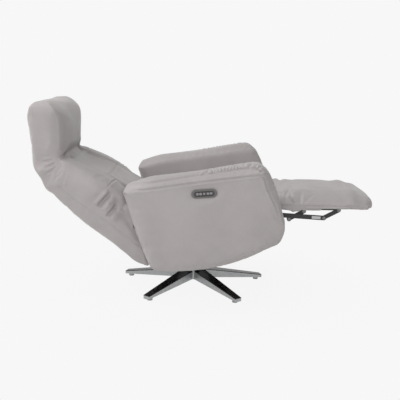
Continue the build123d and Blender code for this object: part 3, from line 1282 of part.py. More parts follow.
with BuildPart() as headrest_cushion:
    with BuildSketch(at_width(HEAD, HEAD_HALF_WIDTH)):
        with BuildLine():
            Spline((-57, 12), (-61, 60), (-67, 112), (HEAD_BACK, 192), (-70, 256), (-27, HEAD_TOP),
                   (44, 226), (65, 174), (HEAD_FRONT, 125), (62, 87))
            Polyline((62, 87), (41, 40), (-57, 12))
        make_face()
        Circle(HEAD_KNUCKLE)
    extrude(amount=2 * HEAD_HALF_WIDTH)
    # plan: the front bulges in the middle, the corners are round
    with BuildSketch(Plane.XY.offset(HEAD_PIVOT[1] - 70)):
        with BuildLine():
            half = HEAD_HALF_WIDTH
            px = HEAD_PIVOT[0]
            Line((px - 84, -half + 26), (px - 84, half - 26))
            ThreePointArc((px - 84, half - 26), (px - 72, half - 8), (px - 46, half))
            Line((px - 46, half), (px + HEAD_SIDE_FRONT - 20, half))
            ThreePointArc((px + HEAD_SIDE_FRONT - 20, half), (px + HEAD_SIDE_FRONT, half - 7),
                          (px + HEAD_SIDE_FRONT + 12, half - 28))
            ThreePointArc((px + HEAD_SIDE_FRONT + 12, half - 28), (px + HEAD_FRONT + 1, 0),
                          (px + HEAD_SIDE_FRONT + 12, -half + 28))
            ThreePointArc((px + HEAD_SIDE_FRONT + 12, -half + 28), (px + HEAD_SIDE_FRONT, -half + 7),
                          (px + HEAD_SIDE_FRONT - 20, -half))
            Line((px + HEAD_SIDE_FRONT - 20, -half), (px - 46, -half))
            ThreePointArc((px - 46, -half), (px - 72, -half + 8), (px - 84, -half + 26))
        make_face()
    extrude(amount=HEAD_TOP + 90, mode=Mode.INTERSECT)
    # front view: round upper corners
    with BuildSketch(across(HEAD, -100)):
        with BuildLine():
            Line((-half, -70), (half, -70))
            Line((half, -70), (half, HEAD_TOP - 54))
            ThreePointArc((half, HEAD_TOP - 54), (half - 15, HEAD_TOP - 20), (half - 56, HEAD_TOP - 5))
            ThreePointArc((half - 56, HEAD_TOP - 5), (0, HEAD_TOP + 1), (-half + 56, HEAD_TOP - 5))
            ThreePointArc((-half + 56, HEAD_TOP - 5), (-half + 15, HEAD_TOP - 20), (-half, HEAD_TOP - 54))
            Line((-half, HEAD_TOP - 54), (-half, -70))
        make_face()
    extrude(amount=200, mode=Mode.INTERSECT)
    # pocket for the axle and its board
    with BuildSketch(at_width(HEAD, AXLE_HALF + 1)):
        Circle(AXLE_RADIUS + 1)
    extrude(amount=2 * AXLE_HALF + 2, mode=Mode.SUBTRACT)
    with BuildSketch(at_width(HEAD, HEAD_STRAP_Y + 16)):
        strip(((0, 0), (-14, 230)), 14)
    extrude(amount=2 * HEAD_STRAP_Y + 32, mode=Mode.SUBTRACT)
    # slots that the hinge plates work in
    for side_name, side in SIDES:
        low, high = between(HINGE_Y - 1.5, HINGE_Y + HINGE_THICKNESS + 1.5, side)
        with BuildSketch(at_width(HEAD, high)):
            Circle(HEAD_KNUCKLE + 2)
        extrude(amount=high - low, mode=Mode.SUBTRACT)
save(headrest_cushion, "headrest_cushion")
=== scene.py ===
# %% [markdown]
# # Star base swivel recliner
# A leather recliner on a five-leg star, shown fully reclined. The moving frame underneath comes
# ready made from the CAD part. This lesson dresses it: soft leather covers, metal and plastic
# finishes, plain studio light and a camera.

# %% Load the frame
import json
from math import cos, pi, radians, sin

import bmesh
import bpy
import numpy as np
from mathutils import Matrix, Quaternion, Vector, noise


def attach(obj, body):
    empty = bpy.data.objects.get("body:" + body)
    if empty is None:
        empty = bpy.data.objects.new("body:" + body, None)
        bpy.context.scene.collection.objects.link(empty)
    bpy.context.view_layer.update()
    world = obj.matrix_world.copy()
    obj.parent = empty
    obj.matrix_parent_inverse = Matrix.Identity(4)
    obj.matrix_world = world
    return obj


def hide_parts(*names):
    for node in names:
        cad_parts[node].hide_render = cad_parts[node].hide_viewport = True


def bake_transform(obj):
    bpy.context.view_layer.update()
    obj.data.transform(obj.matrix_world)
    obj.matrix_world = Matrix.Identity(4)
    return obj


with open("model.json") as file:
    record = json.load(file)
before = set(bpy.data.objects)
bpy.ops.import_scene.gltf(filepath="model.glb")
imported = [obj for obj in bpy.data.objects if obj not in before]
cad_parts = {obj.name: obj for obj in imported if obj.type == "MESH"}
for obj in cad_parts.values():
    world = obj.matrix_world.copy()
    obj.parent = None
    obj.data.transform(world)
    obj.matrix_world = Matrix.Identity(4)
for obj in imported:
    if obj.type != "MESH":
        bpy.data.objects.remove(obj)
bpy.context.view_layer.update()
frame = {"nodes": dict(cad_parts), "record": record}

# %% [markdown]
# ## Places on the chair
# The seat is tipped back and the back leans further, so a seam is easiest to describe in the lines
# of the unit it is sewn on: so many millimetres forward, out to the side, and up along that unit.
# Each unit therefore gets its own set of lines, and one function turns points into them.

# %% Lines of the upholstered units
def unit_lines(x, z, lean):
    """Origin, forward direction and up direction of an upholstered unit."""
    a = radians(lean)
    return (np.array([x, 0, z]) / 1000, np.array([cos(a), 0, sin(a)]), np.array([-sin(a), 0, cos(a)]))


SEAT_LEAN = 9.6
SEAT = unit_lines(200, 225, SEAT_LEAN)
BACK = unit_lines(-215, 350, 51.8)
HEAD = unit_lines(-628, 575, 0)
LEVEL = unit_lines(0, 0, 0)


def in_lines(unit, co):
    """Points as millimetres forward, out to the left, and up in a unit's lines."""
    origin, forward, up = unit
    d = co - origin
    return np.stack([d @ forward, d[:, 1], d @ up], axis=1) * 1000


def along(unit, moves):
    """Moves given in a unit's lines, in millimetres, as moves in the chair's metres."""
    origin, forward, up = unit
    return (moves[:, :1] * forward + moves[:, 2:] * up) / 1000 + moves[:, 1:2] * [0, 0.001, 0]


# middle of the control panel, forward and up in the lines of the seat
PANEL_FORWARD, PANEL_UP = -112, 308
print("seat, back, headrest and level lines are ready")

# %% [markdown]
# ## Stuffed leather
# A cushion is foam inside a leather cover. The CAD part gives its space as a hard solid, so the
# cover starts as a copy of it. A voxel remesh lays even quads over it, then cloth under a little
# air pressure swells it and rounds its edges, as foam does to leather. A cap keeps each point near
# its place, so the cover stays in the room that the frame leaves it.

# %% Select, read and write one piece
def only(piece):
    """Selects this piece alone, because an operator acts on all that is selected."""
    bpy.ops.object.select_all(action="DESELECT")
    piece.select_set(True)
    bpy.context.view_layer.objects.active = piece
    return piece


def get_points(piece):
    co = np.zeros(len(piece.data.vertices) * 3, np.float64)
    piece.data.vertices.foreach_get("co", co)
    return co.reshape(-1, 3)


def set_points(piece, co):
    piece.data.vertices.foreach_set("co", co.astype(np.float32).ravel())
    piece.data.update()


def get_normals(piece):
    n = np.zeros(len(piece.data.vertices) * 3, np.float32)
    piece.data.vertex_normals.foreach_get("vector", n)
    return n.reshape(-1, 3).astype(np.float64)


def apply_modifier(piece, kind, **settings):
    """Adds one modifier, sets it and applies it."""
    only(piece)
    m = piece.modifiers.new(kind.title(), kind)
    for key, value in settings.items():
        setattr(m, key, value)
    bpy.ops.object.modifier_apply(modifier=m.name)


def measure(piece):
    """Prints the size of a cover: front to back, side to side and up."""
    size = np.ptp(get_points(piece), axis=0) * 1000
    print(piece.name, "measures", [round(float(v)) for v in size], "mm")


# %% Cover blank from the CAD solids
# points closer than this, in metres, become one
WELD = 0.00002


def add_filling(bm, unit, outline, low, high):
    """Adds a plain prism across the chair: an outline in a unit's lines, from one width to another."""
    flat = np.array([(x, 0, z) for x, z in outline], float)
    rings = []
    for y in (low, high):
        spots = unit[0] + along(unit, flat) + [0, y / 1000, 0]
        rings.append([bm.verts.new(spot) for spot in spots])
    right, left = rings
    caps = [bm.faces.new(right), bm.faces.new(left)]
    walls = [bm.faces.new((right[i - 1], right[i], left[i], left[i - 1])) for i in range(len(outline))]
    bmesh.ops.recalc_face_normals(bm, faces=caps + walls)


def cover_blank(name, nodes, voxel=0.006, relax=4, fillings=()):
    """A new mesh over one or more soft solids: merged, remeshed to even quads and relaxed."""
    bm = bmesh.new()
    for node in nodes:
        bm.from_mesh(frame["nodes"][node].data)
    bmesh.ops.remove_doubles(bm, verts=bm.verts, dist=WELD)
    for filling in fillings:
        add_filling(bm, *filling)
    mesh = bpy.data.meshes.new(name)
    bm.to_mesh(mesh)
    bm.free()
    piece = bpy.data.objects.new(name, mesh)
    bpy.context.scene.collection.objects.link(piece)
    apply_modifier(piece, "REMESH", mode="VOXEL", voxel_size=voxel)
    apply_modifier(piece, "SMOOTH", factor=0.5, iterations=relax)
    return piece


print("ready to copy from", len(frame["nodes"]), "CAD nodes")

# %% Swell a cover with cloth
CLOTH_STEPS = 20
AIR_PRESSURE = 4.0


def swell(piece, draw_in, cap, free):
    """Cloth under pressure, each point at most cap from where it was; free(points) is 0 where it is held."""
    co, normals = get_points(piece), get_normals(piece)
    loose = free(co)
    start = co - normals * (draw_in * loose)[:, None]
    set_points(piece, start)
    cloth = piece.modifiers.new("Cloth", "CLOTH")
    s = cloth.settings
    s.quality = 3
    s.mass = 0.35
    s.tension_stiffness = s.compression_stiffness = 12
    s.shear_stiffness = 6
    s.bending_stiffness = 0.6
    s.use_pressure = True
    s.uniform_pressure_force = AIR_PRESSURE
    s.effector_weights.gravity = 0
    cloth.collision_settings.use_collision = False
    cloth.point_cache.frame_start = 1
    cloth.point_cache.frame_end = CLOTH_STEPS
    for step in range(1, CLOTH_STEPS + 1):
        bpy.context.scene.frame_set(step)
    shown = piece.evaluated_get(bpy.context.evaluated_depsgraph_get())
    swollen = np.zeros(len(co) * 3, np.float64)
    shown.data.vertices.foreach_get("co", swollen)
    swollen = swollen.reshape(-1, 3)
    piece.modifiers.remove(cloth)
    bpy.context.scene.frame_set(1)
    move = swollen - start
    length = np.linalg.norm(move, axis=1)
    limit = cap * np.tanh(length / cap) / np.maximum(length, 1e-9)
    set_points(piece, start + move * (limit * loose)[:, None])
    print(piece.name, len(co), "points, moved up to", round(float((length * limit).max()) * 1000, 1), "mm")


print("cloth runs for", CLOTH_STEPS, "steps")


# %% Ease and refine a cover
def ease(piece, zone, unit, rounds):
    """Smooths one zone of a cover, given by a rule of place, so that two forms flow together."""
    bm = bmesh.new()
    bm.from_mesh(piece.data)
    near = zone(in_lines(unit, get_points(piece)))
    chosen = [v for v, take in zip(bm.verts, near) if take]
    for _ in range(rounds):
        bmesh.ops.smooth_vert(bm, verts=chosen, factor=0.5, use_axis_x=True, use_axis_y=True, use_axis_z=True)
    bm.to_mesh(piece.data)
    bm.free()
    print("eased", len(chosen), "points of", piece.name)


def refine(piece):
    """One round of subdivision, so seams and folds have points to lie on."""
    apply_modifier(piece, "SUBSURF", levels=1, render_levels=1, use_limit_surface=False)


print("tools for covers are ready")


# %% [markdown]
# ## Seams, pleats and folds
# Seams and folds come after the remesh, which would wipe them out. Each is a line on the cover:
# points near it sink, and points a little further off rise, because the leather that is pulled into
# a seam has to go somewhere. The line is given in the lines of its unit.

# %% Distance from a line
def line_reach(points, line):
    """Distance from each flat point to a broken line, how far along it lies, and on which side."""
    best = np.full(len(points), 1e9)
    run = np.zeros(len(points))
    side = np.zeros(len(points))
    lengths = [np.hypot(b[0] - a[0], b[1] - a[1]) for a, b in zip(line, line[1:])]
    total, done = sum(lengths), 0.0
    for (a, b), length in zip(zip(line, line[1:]), lengths):
        a, b = np.array(a, float), np.array(b, float)
        d = (b - a) / length
        t = np.clip((points - a) @ d, 0, length)
        gap = points - (a + t[:, None] * d)
        distance = np.hypot(gap[:, 0], gap[:, 1])
        near = distance < best
        best[near] = distance[near]
        run[near] = (done + t[near]) / total
        across_line = d[0] * (points[:, 1] - a[1]) - d[1] * (points[:, 0] - a[0])
        side[near] = np.sign(across_line)[near]
        done += length
    return best, run, side


def smooth(value, low, high):
    """0 below low, 1 above high, and a soft rise between."""
    t = np.clip((value - low) / (high - low), 0, 1)
    return t * t * (3 - 2 * t)


print("half way up a soft rise:", smooth(5, 0, 10))

# %% Sew or fold along a line
# the raised lips of a fold: how far off its line they stand and how broad they are, in its widths
LIP_PLACE, LIP_SPREAD = 2.4, 1.5


def work_line(piece, unit, line, width, depth, where, face="side", bulge=0.35, lean=0.0, fade=0.0):
    """Sinks a cover along a line, where a mask lets it. face says which way the line is seen: from the
    side, top or front. lean makes the fold steeper on one side, and fade lets it run out at its ends."""
    co, normals = get_points(piece), get_normals(piece)
    p = in_lines(unit, co)
    axes = {"side": [0, 2], "top": [0, 1], "front": [1, 2]}[face]
    d, run, side = line_reach(p[:, axes], line)
    wide = width * (1 + lean * side)
    dip = np.exp(-((d / wide) ** 2))
    lips = np.exp(-(((d - LIP_PLACE * wide) / (LIP_SPREAD * wide)) ** 2)) * bulge
    strength = where(p, normals).astype(float)
    if fade:
        strength = strength * smooth(run, 0, fade) * (1 - smooth(run, 1 - fade, 1))
    set_points(piece, co - normals * ((dip - lips) * depth * strength / 1000)[:, None])


def as_moves(forward, out, up):
    """Moves forward, out to the left and up as one table. A plain 0 stands for no move at all."""
    return np.stack(np.broadcast_arrays(forward, out, up), axis=1)


def shift(piece, unit, rule):
    """Moves points by a rule that takes their place in a unit's lines and gives moves in them."""
    co = get_points(piece)
    set_points(piece, co + along(unit, rule(in_lines(unit, co))))


def rise(piece, rule):
    """Moves points along their normals by a rule of their place, in millimetres."""
    co, normals = get_points(piece), get_normals(piece)
    set_points(piece, co + normals * (rule(co) / 1000)[:, None])


def soft_noise(co, scale, seed=0.0):
    """Gentle lumps, about -1 to 1, with a size of 1/scale metres."""
    return np.array([noise.noise(Vector(c) * scale + Vector((seed, seed * 0.7, -seed))) for c in co])


print("tools for seams and folds are ready")

# %% [markdown]
# ## Back and headrest in one skin
# The back is a shell with two side bolsters standing proud of a sunken middle, and the headrest is
# a tall cushion on its own hinge above it. The leather runs from one to the other without a break:
# at the hinge it bunches into a deep fold in front, and stretches smoothly round the rear. So all
# of it is remeshed as one cover, with a filling round the hinge.

# %% Masks for the sides and fronts of covers
def side_of(low):
    """Mask for the outer sides of a cover, beyond a width in millimetres."""
    return lambda p, n: smooth(np.abs(p[:, 1]), low, low + 12) * smooth(np.abs(n[:, 1]), 0.2, 0.6)


def front_of(p, n):
    """Mask for what faces forward."""
    return smooth(n[:, 0], 0.05, 0.45)


def top_of(p, n):
    """Mask for what faces up."""
    return smooth(n[:, 2], 0.1, 0.5)


print("masks for sides, fronts and tops are ready")

# %% Back and headrest cover
BACK_NODES = ["back_shell", "back_bolster_left", "back_bolster_right", "back_cushion", "headrest_cushion"]

# fills the room round the hinge, behind and below the headrest
NECK = [(-62, 92), (-60, 12), (-44, -40), (-18, -74), (14, -98), (30, -60), (22, -20), (20, 40), (-10, 92)]

# fills a small wedge at the foot of each side of the shell
FOOT = [(-64, -24), (-46, -20), (-34, 32), (-64, 36)]

# closes the slit beside the neck, between the end of the shell's side and the headrest
CHEEK = [(-50, -10), (-40, -40), (-16, -72), (14, -94), (44, -72), (66, -28), (64, 12), (40, 24), (0, 16)]


def back_free(co):
    """Everything inside is held still: pocket and board of the headrest, inside of the shell, slots."""
    p, h = in_lines(BACK, co), in_lines(HEAD, co)
    y = np.abs(p[:, 1])
    inside = (y < 267.5) & (p[:, 0] < -53) & (p[:, 0] > -119) & (h[:, 2] < -40)
    slots = (np.abs(y - 228) < 9) & (np.hypot(p[:, 0], p[:, 2]) < 80)
    pocket = (y < 176) & (np.hypot(h[:, 0], h[:, 2]) < 14)
    board = (y < 140) & (np.abs(h[:, 0] + h[:, 2] * 14 / 230) < 12) & (h[:, 2] > -12) & (h[:, 2] < 245)
    return np.where(inside | slots | pocket | board, 0.0, 1.0)


def round_hinge(p):
    """Round the hinge of the headrest, short of the deep fold in front."""
    return (np.hypot(p[:, 0] + 8, p[:, 2] + 20) < 95) & (p[:, 0] < 38)


back = cover_blank("back_cover", BACK_NODES, voxel=0.007, relax=3,
                   fillings=[(HEAD, NECK, -261, 261), (BACK, FOOT, -283, -262), (BACK, FOOT, 262, 283),
                             (HEAD, CHEEK, -274, -248), (HEAD, CHEEK, 248, 274)])
swell(back, draw_in=0.002, cap=0.010, free=back_free)
ease(back, round_hinge, HEAD, rounds=14)
refine(back)


# %% Draw the back to its outline
def draw_back(p):
    """Draws the sides in towards the headrest and the rear edge, and stuffs the rear fuller."""
    wide = np.abs(p[:, 1])
    out = np.sign(p[:, 1]) * smooth(wide, 150, 285)
    not_head = 1 - smooth(p[:, 2] - 0.35 * p[:, 0], 470, 520)
    to_head = (7 * smooth(p[:, 2], 250, 400) + 13 * smooth(p[:, 2], 412, 462)) * smooth(wide, 250, 280)
    to_rear = 15 * smooth(-p[:, 0], 96, 150) * smooth(wide, 255, 285)
    belly = 3.5 * np.exp(-(((p[:, 2] - 250) / 110) ** 2)) * smooth(p[:, 0] + 100, 0, 60)
    rear = -15 * smooth(-p[:, 0], 70, 130) * smooth(p[:, 2], -170, -60) * (1 - smooth(p[:, 2], 400, 470))
    return as_moves(rear, -out * (to_head + to_rear - belly) * not_head, 0)


def past_arm_rear(p):
    """How far forward of the rear edge of an arm a point lies, in the lines of the seat."""
    return p[:, 0] - np.interp(p[:, 2], [58, 368], [-396, -446])


def tuck_in(p):
    """Draws the sides in where the rear edges of the arms cover them, which leaves a dark gap."""
    out = np.sign(p[:, 1]) * smooth(np.abs(p[:, 1]), 255, 275)
    tuck = -17 * out * smooth(past_arm_rear(p), -15, 3) * (1 - smooth(p[:, 2], 372, 400))
    return as_moves(0, tuck, 0)


def fill_head(p):
    """Stuffs the headrest: fuller at the top, at the rear and on the front."""
    high = smooth(p[:, 2], 60, 250)
    rear = -12 * smooth(-p[:, 0], 10, 60) * smooth(p[:, 2], -70, 30) * (1 - 0.5 * smooth(p[:, 2], 180, 240))
    return as_moves(rear + 5 * high * smooth(p[:, 0], 10, 60), 0, 15 * high)


def keep_out(piece, unit, least, beside):
    """Brings the outer sides of a cover back over a board that a fold has bared."""
    co, normals = get_points(piece), get_normals(piece)
    p = in_lines(unit, co)
    side = np.sign(p[:, 1])
    short = np.clip(least - np.abs(p[:, 1]), 0, 16) * smooth(normals[:, 1] * side, 0.1, 0.4) * beside(p)
    co[:, 1] += side * short / 1000
    set_points(piece, co)


def beside_panel(p):
    """Where the edges of the panel lie inside the shell."""
    return smooth(-p[:, 0], 34, 42) * (1 - smooth(-p[:, 0], 74, 86)) * (1 - smooth(p[:, 2], 410, 424))


shift(back, BACK, draw_back)
shift(back, HEAD, fill_head)
shift(back, SEAT, tuck_in)
measure(back)


# %% Folds of the headrest
def in_junction(p, n):
    """Mask for the front of the junction, short of the sides."""
    return smooth(p[:, 0], 24, 40) * (1 - smooth(p[:, 0], 80, 100)) * (1 - smooth(np.abs(p[:, 1]), 236, 258))


# soft edge between the side gusset and the front
gusset = [(42, 70), (45, 120), (44, 200), (26, 250)]
work_line(back, HEAD, gusset, 6, -1.8, where=side_of(225), bulge=0.2, fade=0.12)
# the deep fold where headrest and back meet, and two light ones above the roll of bunched leather
junction = [(-262, 8), (-170, 2), (0, -4), (170, 2), (262, 8)]
work_line(back, HEAD, junction, 6, 20, face="front", where=in_junction, bulge=0.3)
for line, deep in (([(-262, 40), (-200, 46), (-110, 30), (-60, 34)], 4.6),
                   ([(30, 34), (110, 24), (190, 34), (250, 44)], 3.2)):
    work_line(back, HEAD, line, 5, deep, face="front", where=front_of, fade=0.25, lean=0.3)
# wrinkles that fan out on the side from the end of the fold
for a, b, deep in (((38, 10), (-14, -28), 3.4), ((34, 24), (-20, 0), 3.0), ((26, 38), (-34, 24), 2.2),
                   ((30, -6), (-4, -46), 2.4), ((8, 52), (-30, 50), 1.2)):
    work_line(back, HEAD, [a, b], 4.6, deep, where=side_of(230), bulge=0.6, lean=0.35, fade=0.3)
measure(back)

# %% Seams and pleats of the back
outside = side_of(248)
# boxing strip along the rear
rear_seam = [(-86, -140), (-92, 9), (-98, 163), (-110, 302), (-112, 400)]
work_line(back, BACK, rear_seam, 3.2, 2.6, where=outside, bulge=0.5, fade=0.06)
# two pleats across the side, with full leather between them and above them
upper_pleat = [(-74, 199), (-30, 197), (18, 193)]
lower_pleat = [(-82, 143), (-50, 141), (-6, 140)]
work_line(back, BACK, upper_pleat, 8.5, 12, where=outside, bulge=0.55, lean=-0.3, fade=0.22)
work_line(back, BACK, lower_pleat, 8.0, 10, where=outside, bulge=0.6, lean=-0.3, fade=0.25)
work_line(back, BACK, [(-66, 169), (-16, 167)], 7.0, -4.0, where=outside, bulge=0, fade=0.3)
work_line(back, BACK, [(-60, 250), (0, 238)], 16.0, -2.5, where=outside, bulge=0, fade=0.3)
# drag lines towards the headrest hinge
for a, b, deep in (((-118, 400), (-40, 430), 2.0), ((-110, 366), (-26, 396), 1.6)):
    work_line(back, BACK, [a, b], 5.5, deep, where=outside, bulge=0.6, lean=0.3, fade=0.3)
# channels between the middle and the bolsters, and a seam across each bolster
for side in (-1, 1):
    work_line(back, BACK, [(side * 168, 110), (side * 168, 448)], 5, 8, face="front", bulge=0.4,
              where=lambda p, n: smooth(p[:, 0], -40, -20) * smooth(n[:, 0], 0.0, 0.3))
    work_line(back, BACK, [(side * 170, 209), (side * 280, 220)], 3.4, 2.6, face="front", bulge=0.5,
              where=lambda p, n: smooth(p[:, 0], -20, 0) * smooth(n[:, 0], 0.2, 0.5))
work_line(back, BACK, [(-166, 250), (-60, 244), (60, 244), (166, 250)], 5, 4, face="front",
          where=lambda p, n: smooth(p[:, 0], -30, 0) * smooth(n[:, 0], 0.2, 0.5))
keep_out(back, BACK, 271, beside_panel)
# slack leather over everything
rise(back, lambda co: 1.4 * soft_noise(co, 8, 11) + 0.5 * soft_noise(co, 24, 12))
measure(back)

# %% [markdown]
# ## Arms
# Each arm is a flat board wrapped in foam. The outside is one large smooth panel. A narrow strip is
# sewn in between it and the soft top, and the top is gathered into small ruches by its seam.
# At the front the panel ends in a border seam, and beyond it the leather turns round the end.

# %% What the arms hold still
def arm_free(co):
    """Holds the slot for the board, and the leather round the control panel."""
    p = in_lines(SEAT, co)
    y = np.abs(p[:, 1])
    slot = (y > 303) & (y < 331) & (p[:, 2] < 336) & (p[:, 0] > -388) & (p[:, 0] < 142)
    window = (y < 322) & (p[:, 2] > 96) & (p[:, 2] < 168) & (p[:, 0] < 130) & (p[:, 0] > -400)
    panel = smooth(np.hypot((p[:, 0] - PANEL_FORWARD) / 1.9, p[:, 2] - PANEL_UP), 20, 48)
    panel = np.where((p[:, 1] < -390), panel, 1.0)
    return np.where(slot | window, 0.0, 1.0) * panel * np.where(y < 300, 0.5, 1.0)


print("arms are held round the panel at", PANEL_FORWARD, PANEL_UP)

# %% Seams and outline of the arms
lower_seam = [(-424, 364), (-345, 357), (-243, 357), (-122, 357), (20, 355), (118, 352), (134, 344),
              (141, 326), (147, 288), (163, 236), (178, 188), (184, 150)]
upper_seam = [(-420, 392), (-395, 388), (-322, 380), (-201, 383), (-58, 384), (73, 385), (112, 379),
              (130, 366)]
outer_face = side_of(350)


def above_foot(p):
    """How far above the lower edge of an arm a point lies."""
    return p[:, 2] - np.interp(p[:, 0], [-345, -110, 135], [8, -11, 48])


def arm_ends(p):
    """Turns the leather in beyond the border seam at the front, and round the rear and lower edges."""
    out = np.sign(p[:, 1]) * smooth(np.abs(p[:, 1]), 340, 400)
    # the border seam, forward for each height
    edge = np.interp(p[:, 2], [48, 104, 148, 188, 236, 288, 326, 352],
                     [140, 178, 184, 178, 163, 147, 141, 134])
    beyond = p[:, 0] - edge
    turn_in = 24 * smooth(beyond, -2, 34) * smooth(p[:, 2], 40, 110)
    turn_rear = 16 * (1 - smooth(past_arm_rear(p), 0, 26))
    turn_foot = 6 * (1 - smooth(above_foot(p), 0, 34))
    return as_moves(0, -out * (turn_in + turn_rear + turn_foot), 0)


def arm_fullness(p):
    """Fills the lower edge and its front corner, lets the top sink towards the rear, lifts its front."""
    lower = -13 * (1 - smooth(above_foot(p), 0, 70))
    corner = 11 * smooth(p[:, 0], 90, 150) * (1 - smooth(p[:, 2], 110, 200))
    rear_top = -24 * (1 - smooth(p[:, 0] + 446, -20, 150)) * smooth(p[:, 2], 330, 395)
    front_top = 5 * smooth(p[:, 0], -150, 50) * smooth(p[:, 2], 370, 395)
    return as_moves(corner, 0, lower + rear_top + front_top)


print("seams of", len(lower_seam), "and", len(upper_seam), "points")


# %% Arm covers
def ruches(p):
    """Small gathers across the top strip, the width of a finger, never quite alike."""
    zone = smooth(p[:, 0], -132, -108) * (1 - smooth(p[:, 0], 90, 108))
    zone = zone * smooth(p[:, 2], 383, 390) * smooth(np.abs(p[:, 1]), 336, 356)
    phase = p[:, 0] / 15.5 + 0.7 * np.sin(p[:, 0] / 29.0) + 0.35 * np.sin(p[:, 2] / 5.0 + p[:, 0] / 17.0)
    fold = np.abs(np.sin(pi * phase)) ** 0.7
    return zone * (8.0 * fold - 5.6) * (0.7 + 0.3 * np.sin(p[:, 0] / 9.0 + p[:, 2] / 4.0))


def beside_strip(p, n):
    """Mask for the outer half of an arm, where the strip meets the top."""
    return smooth(np.abs(p[:, 1]), 350, 385)


def make_arm(side_name, side):
    """One arm: right has side -1 and left has 1."""
    piece = cover_blank(f"arm_cover_{side_name}", [f"arm_{side_name}"])
    swell(piece, draw_in=0.004, cap=0.008, free=arm_free)
    refine(piece)
    shift(piece, SEAT, arm_ends)
    shift(piece, SEAT, arm_fullness)
    work_line(piece, SEAT, lower_seam, 3.4, 3.4, where=outer_face, bulge=0.55, fade=0.08)
    work_line(piece, SEAT, upper_seam, 3.4, 3.6, where=beside_strip, bulge=0.55)
    rise(piece, lambda co: ruches(in_lines(SEAT, co)))
    # puckers where strip, top and border meet at the front corner
    for a, b, deep in (((112, 372), (140, 392), 2.4), ((122, 362), (150, 372), 2.2),
                       ((128, 352), (158, 350), 2.0), ((132, 338), (160, 326), 1.6),
                       ((104, 378), (122, 400), 1.8)):
        work_line(piece, SEAT, [a, b], 3.2, deep, where=side_of(335), bulge=0.6, lean=0.3, fade=0.3)
    rise(piece, lambda co: soft_noise(co, 6, 31 + side) + 0.35 * soft_noise(co, 22, 33))
    measure(piece)
    return piece


arm_right = make_arm("right", -1)
arm_left = make_arm("left", 1)

# %% [markdown]
# ## Seat
# The seat cushion sits between the arms with a crowned top and a round front edge.

# %% Seat cover
def seat_free(co):
    """Holds the underside, and lets the sides beside the arms swell less."""
    p = in_lines(SEAT, co)
    return np.where(p[:, 2] < 172, 0.0, 1.0) * np.where(np.abs(p[:, 1]) > 284, 0.6, 1.0)


seat = cover_blank("seat_cover", ["seat_cushion"], voxel=0.007, relax=3)
swell(seat, draw_in=0.005, cap=0.010, free=seat_free)
refine(seat)
# a seam across the top, a little behind the front edge
work_line(seat, SEAT, [(104, -290), (104, 290)], 4, 4, face="top",
          where=lambda p, n: smooth(n[:, 2], 0.2, 0.6))
rise(seat, lambda co: 1.2 * soft_noise(co, 8, 41))
measure(seat)

# %% [markdown]
# ## Leg rest
# The leg rest is a thin crowned pad that tapers to a round tip. A side seam joins its top to a low
# side strip, and a soft flap closes the gap to the seat. Pad and flap are one skin, gathered where
# the flap tucks in between the arms.

# %% Leg rest cover
def legrest_free(co):
    """Holds the hollow underneath, where the board and the bars lie."""
    p = in_lines(LEVEL, co)
    hollow = (np.abs(p[:, 1]) < 246) & (p[:, 2] < 443) & (p[:, 0] > 414)
    return np.where(hollow, 0.0, 1.0)


# fills the side where the flap meets the pad
SKIRT = [(352, 450), (350, 424), (362, 413), (430, 411), (430, 450)]
LEGREST_NODES = ["legrest_cushion", "legrest_flap"]
legrest = cover_blank("legrest_cover", LEGREST_NODES,
                      fillings=[(LEVEL, SKIRT, -258, -244), (LEVEL, SKIRT, 244, 258)])
swell(legrest, draw_in=0.004, cap=0.009, free=legrest_free)
ease(legrest, lambda p: (p[:, 0] > 610) & (p[:, 2] > 444), LEVEL, rounds=32)
refine(legrest)


# %% Shape of pad and flap
def full_flap(p):
    """Lifts the top of the flap to the height of the pad."""
    lift = 12 * smooth(p[:, 0], 332, 352) * (1 - smooth(p[:, 0], 412, 470)) * smooth(p[:, 2], 444, 458)
    return as_moves(0, 0, lift * (1 - smooth(np.abs(p[:, 1]), 225, 262)))


PAD_HALF_WIDTH = 260


def round_tip(p):
    """Crowns the pad, rounds its tip seen from above and from the side, and fills its side strip."""
    out = np.abs(p[:, 1]) / PAD_HALF_WIDTH
    crown = 16 * smooth(p[:, 2], 440, 462) * smooth(p[:, 0], 400, 500)
    crown = crown * (1 - smooth(p[:, 0], 600, 700)) * (1 - out ** 2)
    tip = 14 * np.exp(-(((p[:, 0] - 685) / 32) ** 2)) + 12 * np.exp(-(((p[:, 0] - 766) / 30) ** 2))
    tip = tip * smooth(p[:, 2], 432, 450) * (1 - 0.25 * out ** 4)
    corner = -32 * smooth(p[:, 0], 640, 785) * np.clip(out, 0, 1) ** 6
    low = (1 - smooth(p[:, 2], 418, 436)) * smooth(out, 0.9, 0.96) * smooth(p[:, 0], 400, 440)
    sag = -(5 + 4 * np.exp(-(((p[:, 0] - 480) / 75) ** 2))) * low
    side_out = 3 * np.sign(p[:, 1]) * smooth(out, 0.9, 0.96) * smooth(p[:, 0], 450, 480)
    side_out = side_out * (1 - smooth(p[:, 2], 452, 466))
    return as_moves(corner + 12 * smooth(p[:, 0], 700, 785), side_out, crown + tip + sag)


def beside_board(p):
    """Where the edges of the leg rest's board lie inside the pad."""
    return smooth(p[:, 0], 410, 425) * (1 - smooth(p[:, 0], 745, 760)) * (p[:, 2] < 447)


shift(legrest, LEVEL, full_flap)
shift(legrest, LEVEL, round_tip)
ease(legrest, lambda p: (p[:, 0] > 560) & (p[:, 2] > 448), LEVEL, rounds=6)

# %% Seam and creases of the leg rest
# seam between the top and the side strip
side_seam = [(352, 439), (417, 440), (540, 440), (700, 441), (760, 439)]
work_line(legrest, LEVEL, side_seam, 3.2, 3.0, where=side_of(225), bulge=0.6)
keep_out(legrest, LEVEL, 248, beside_board)
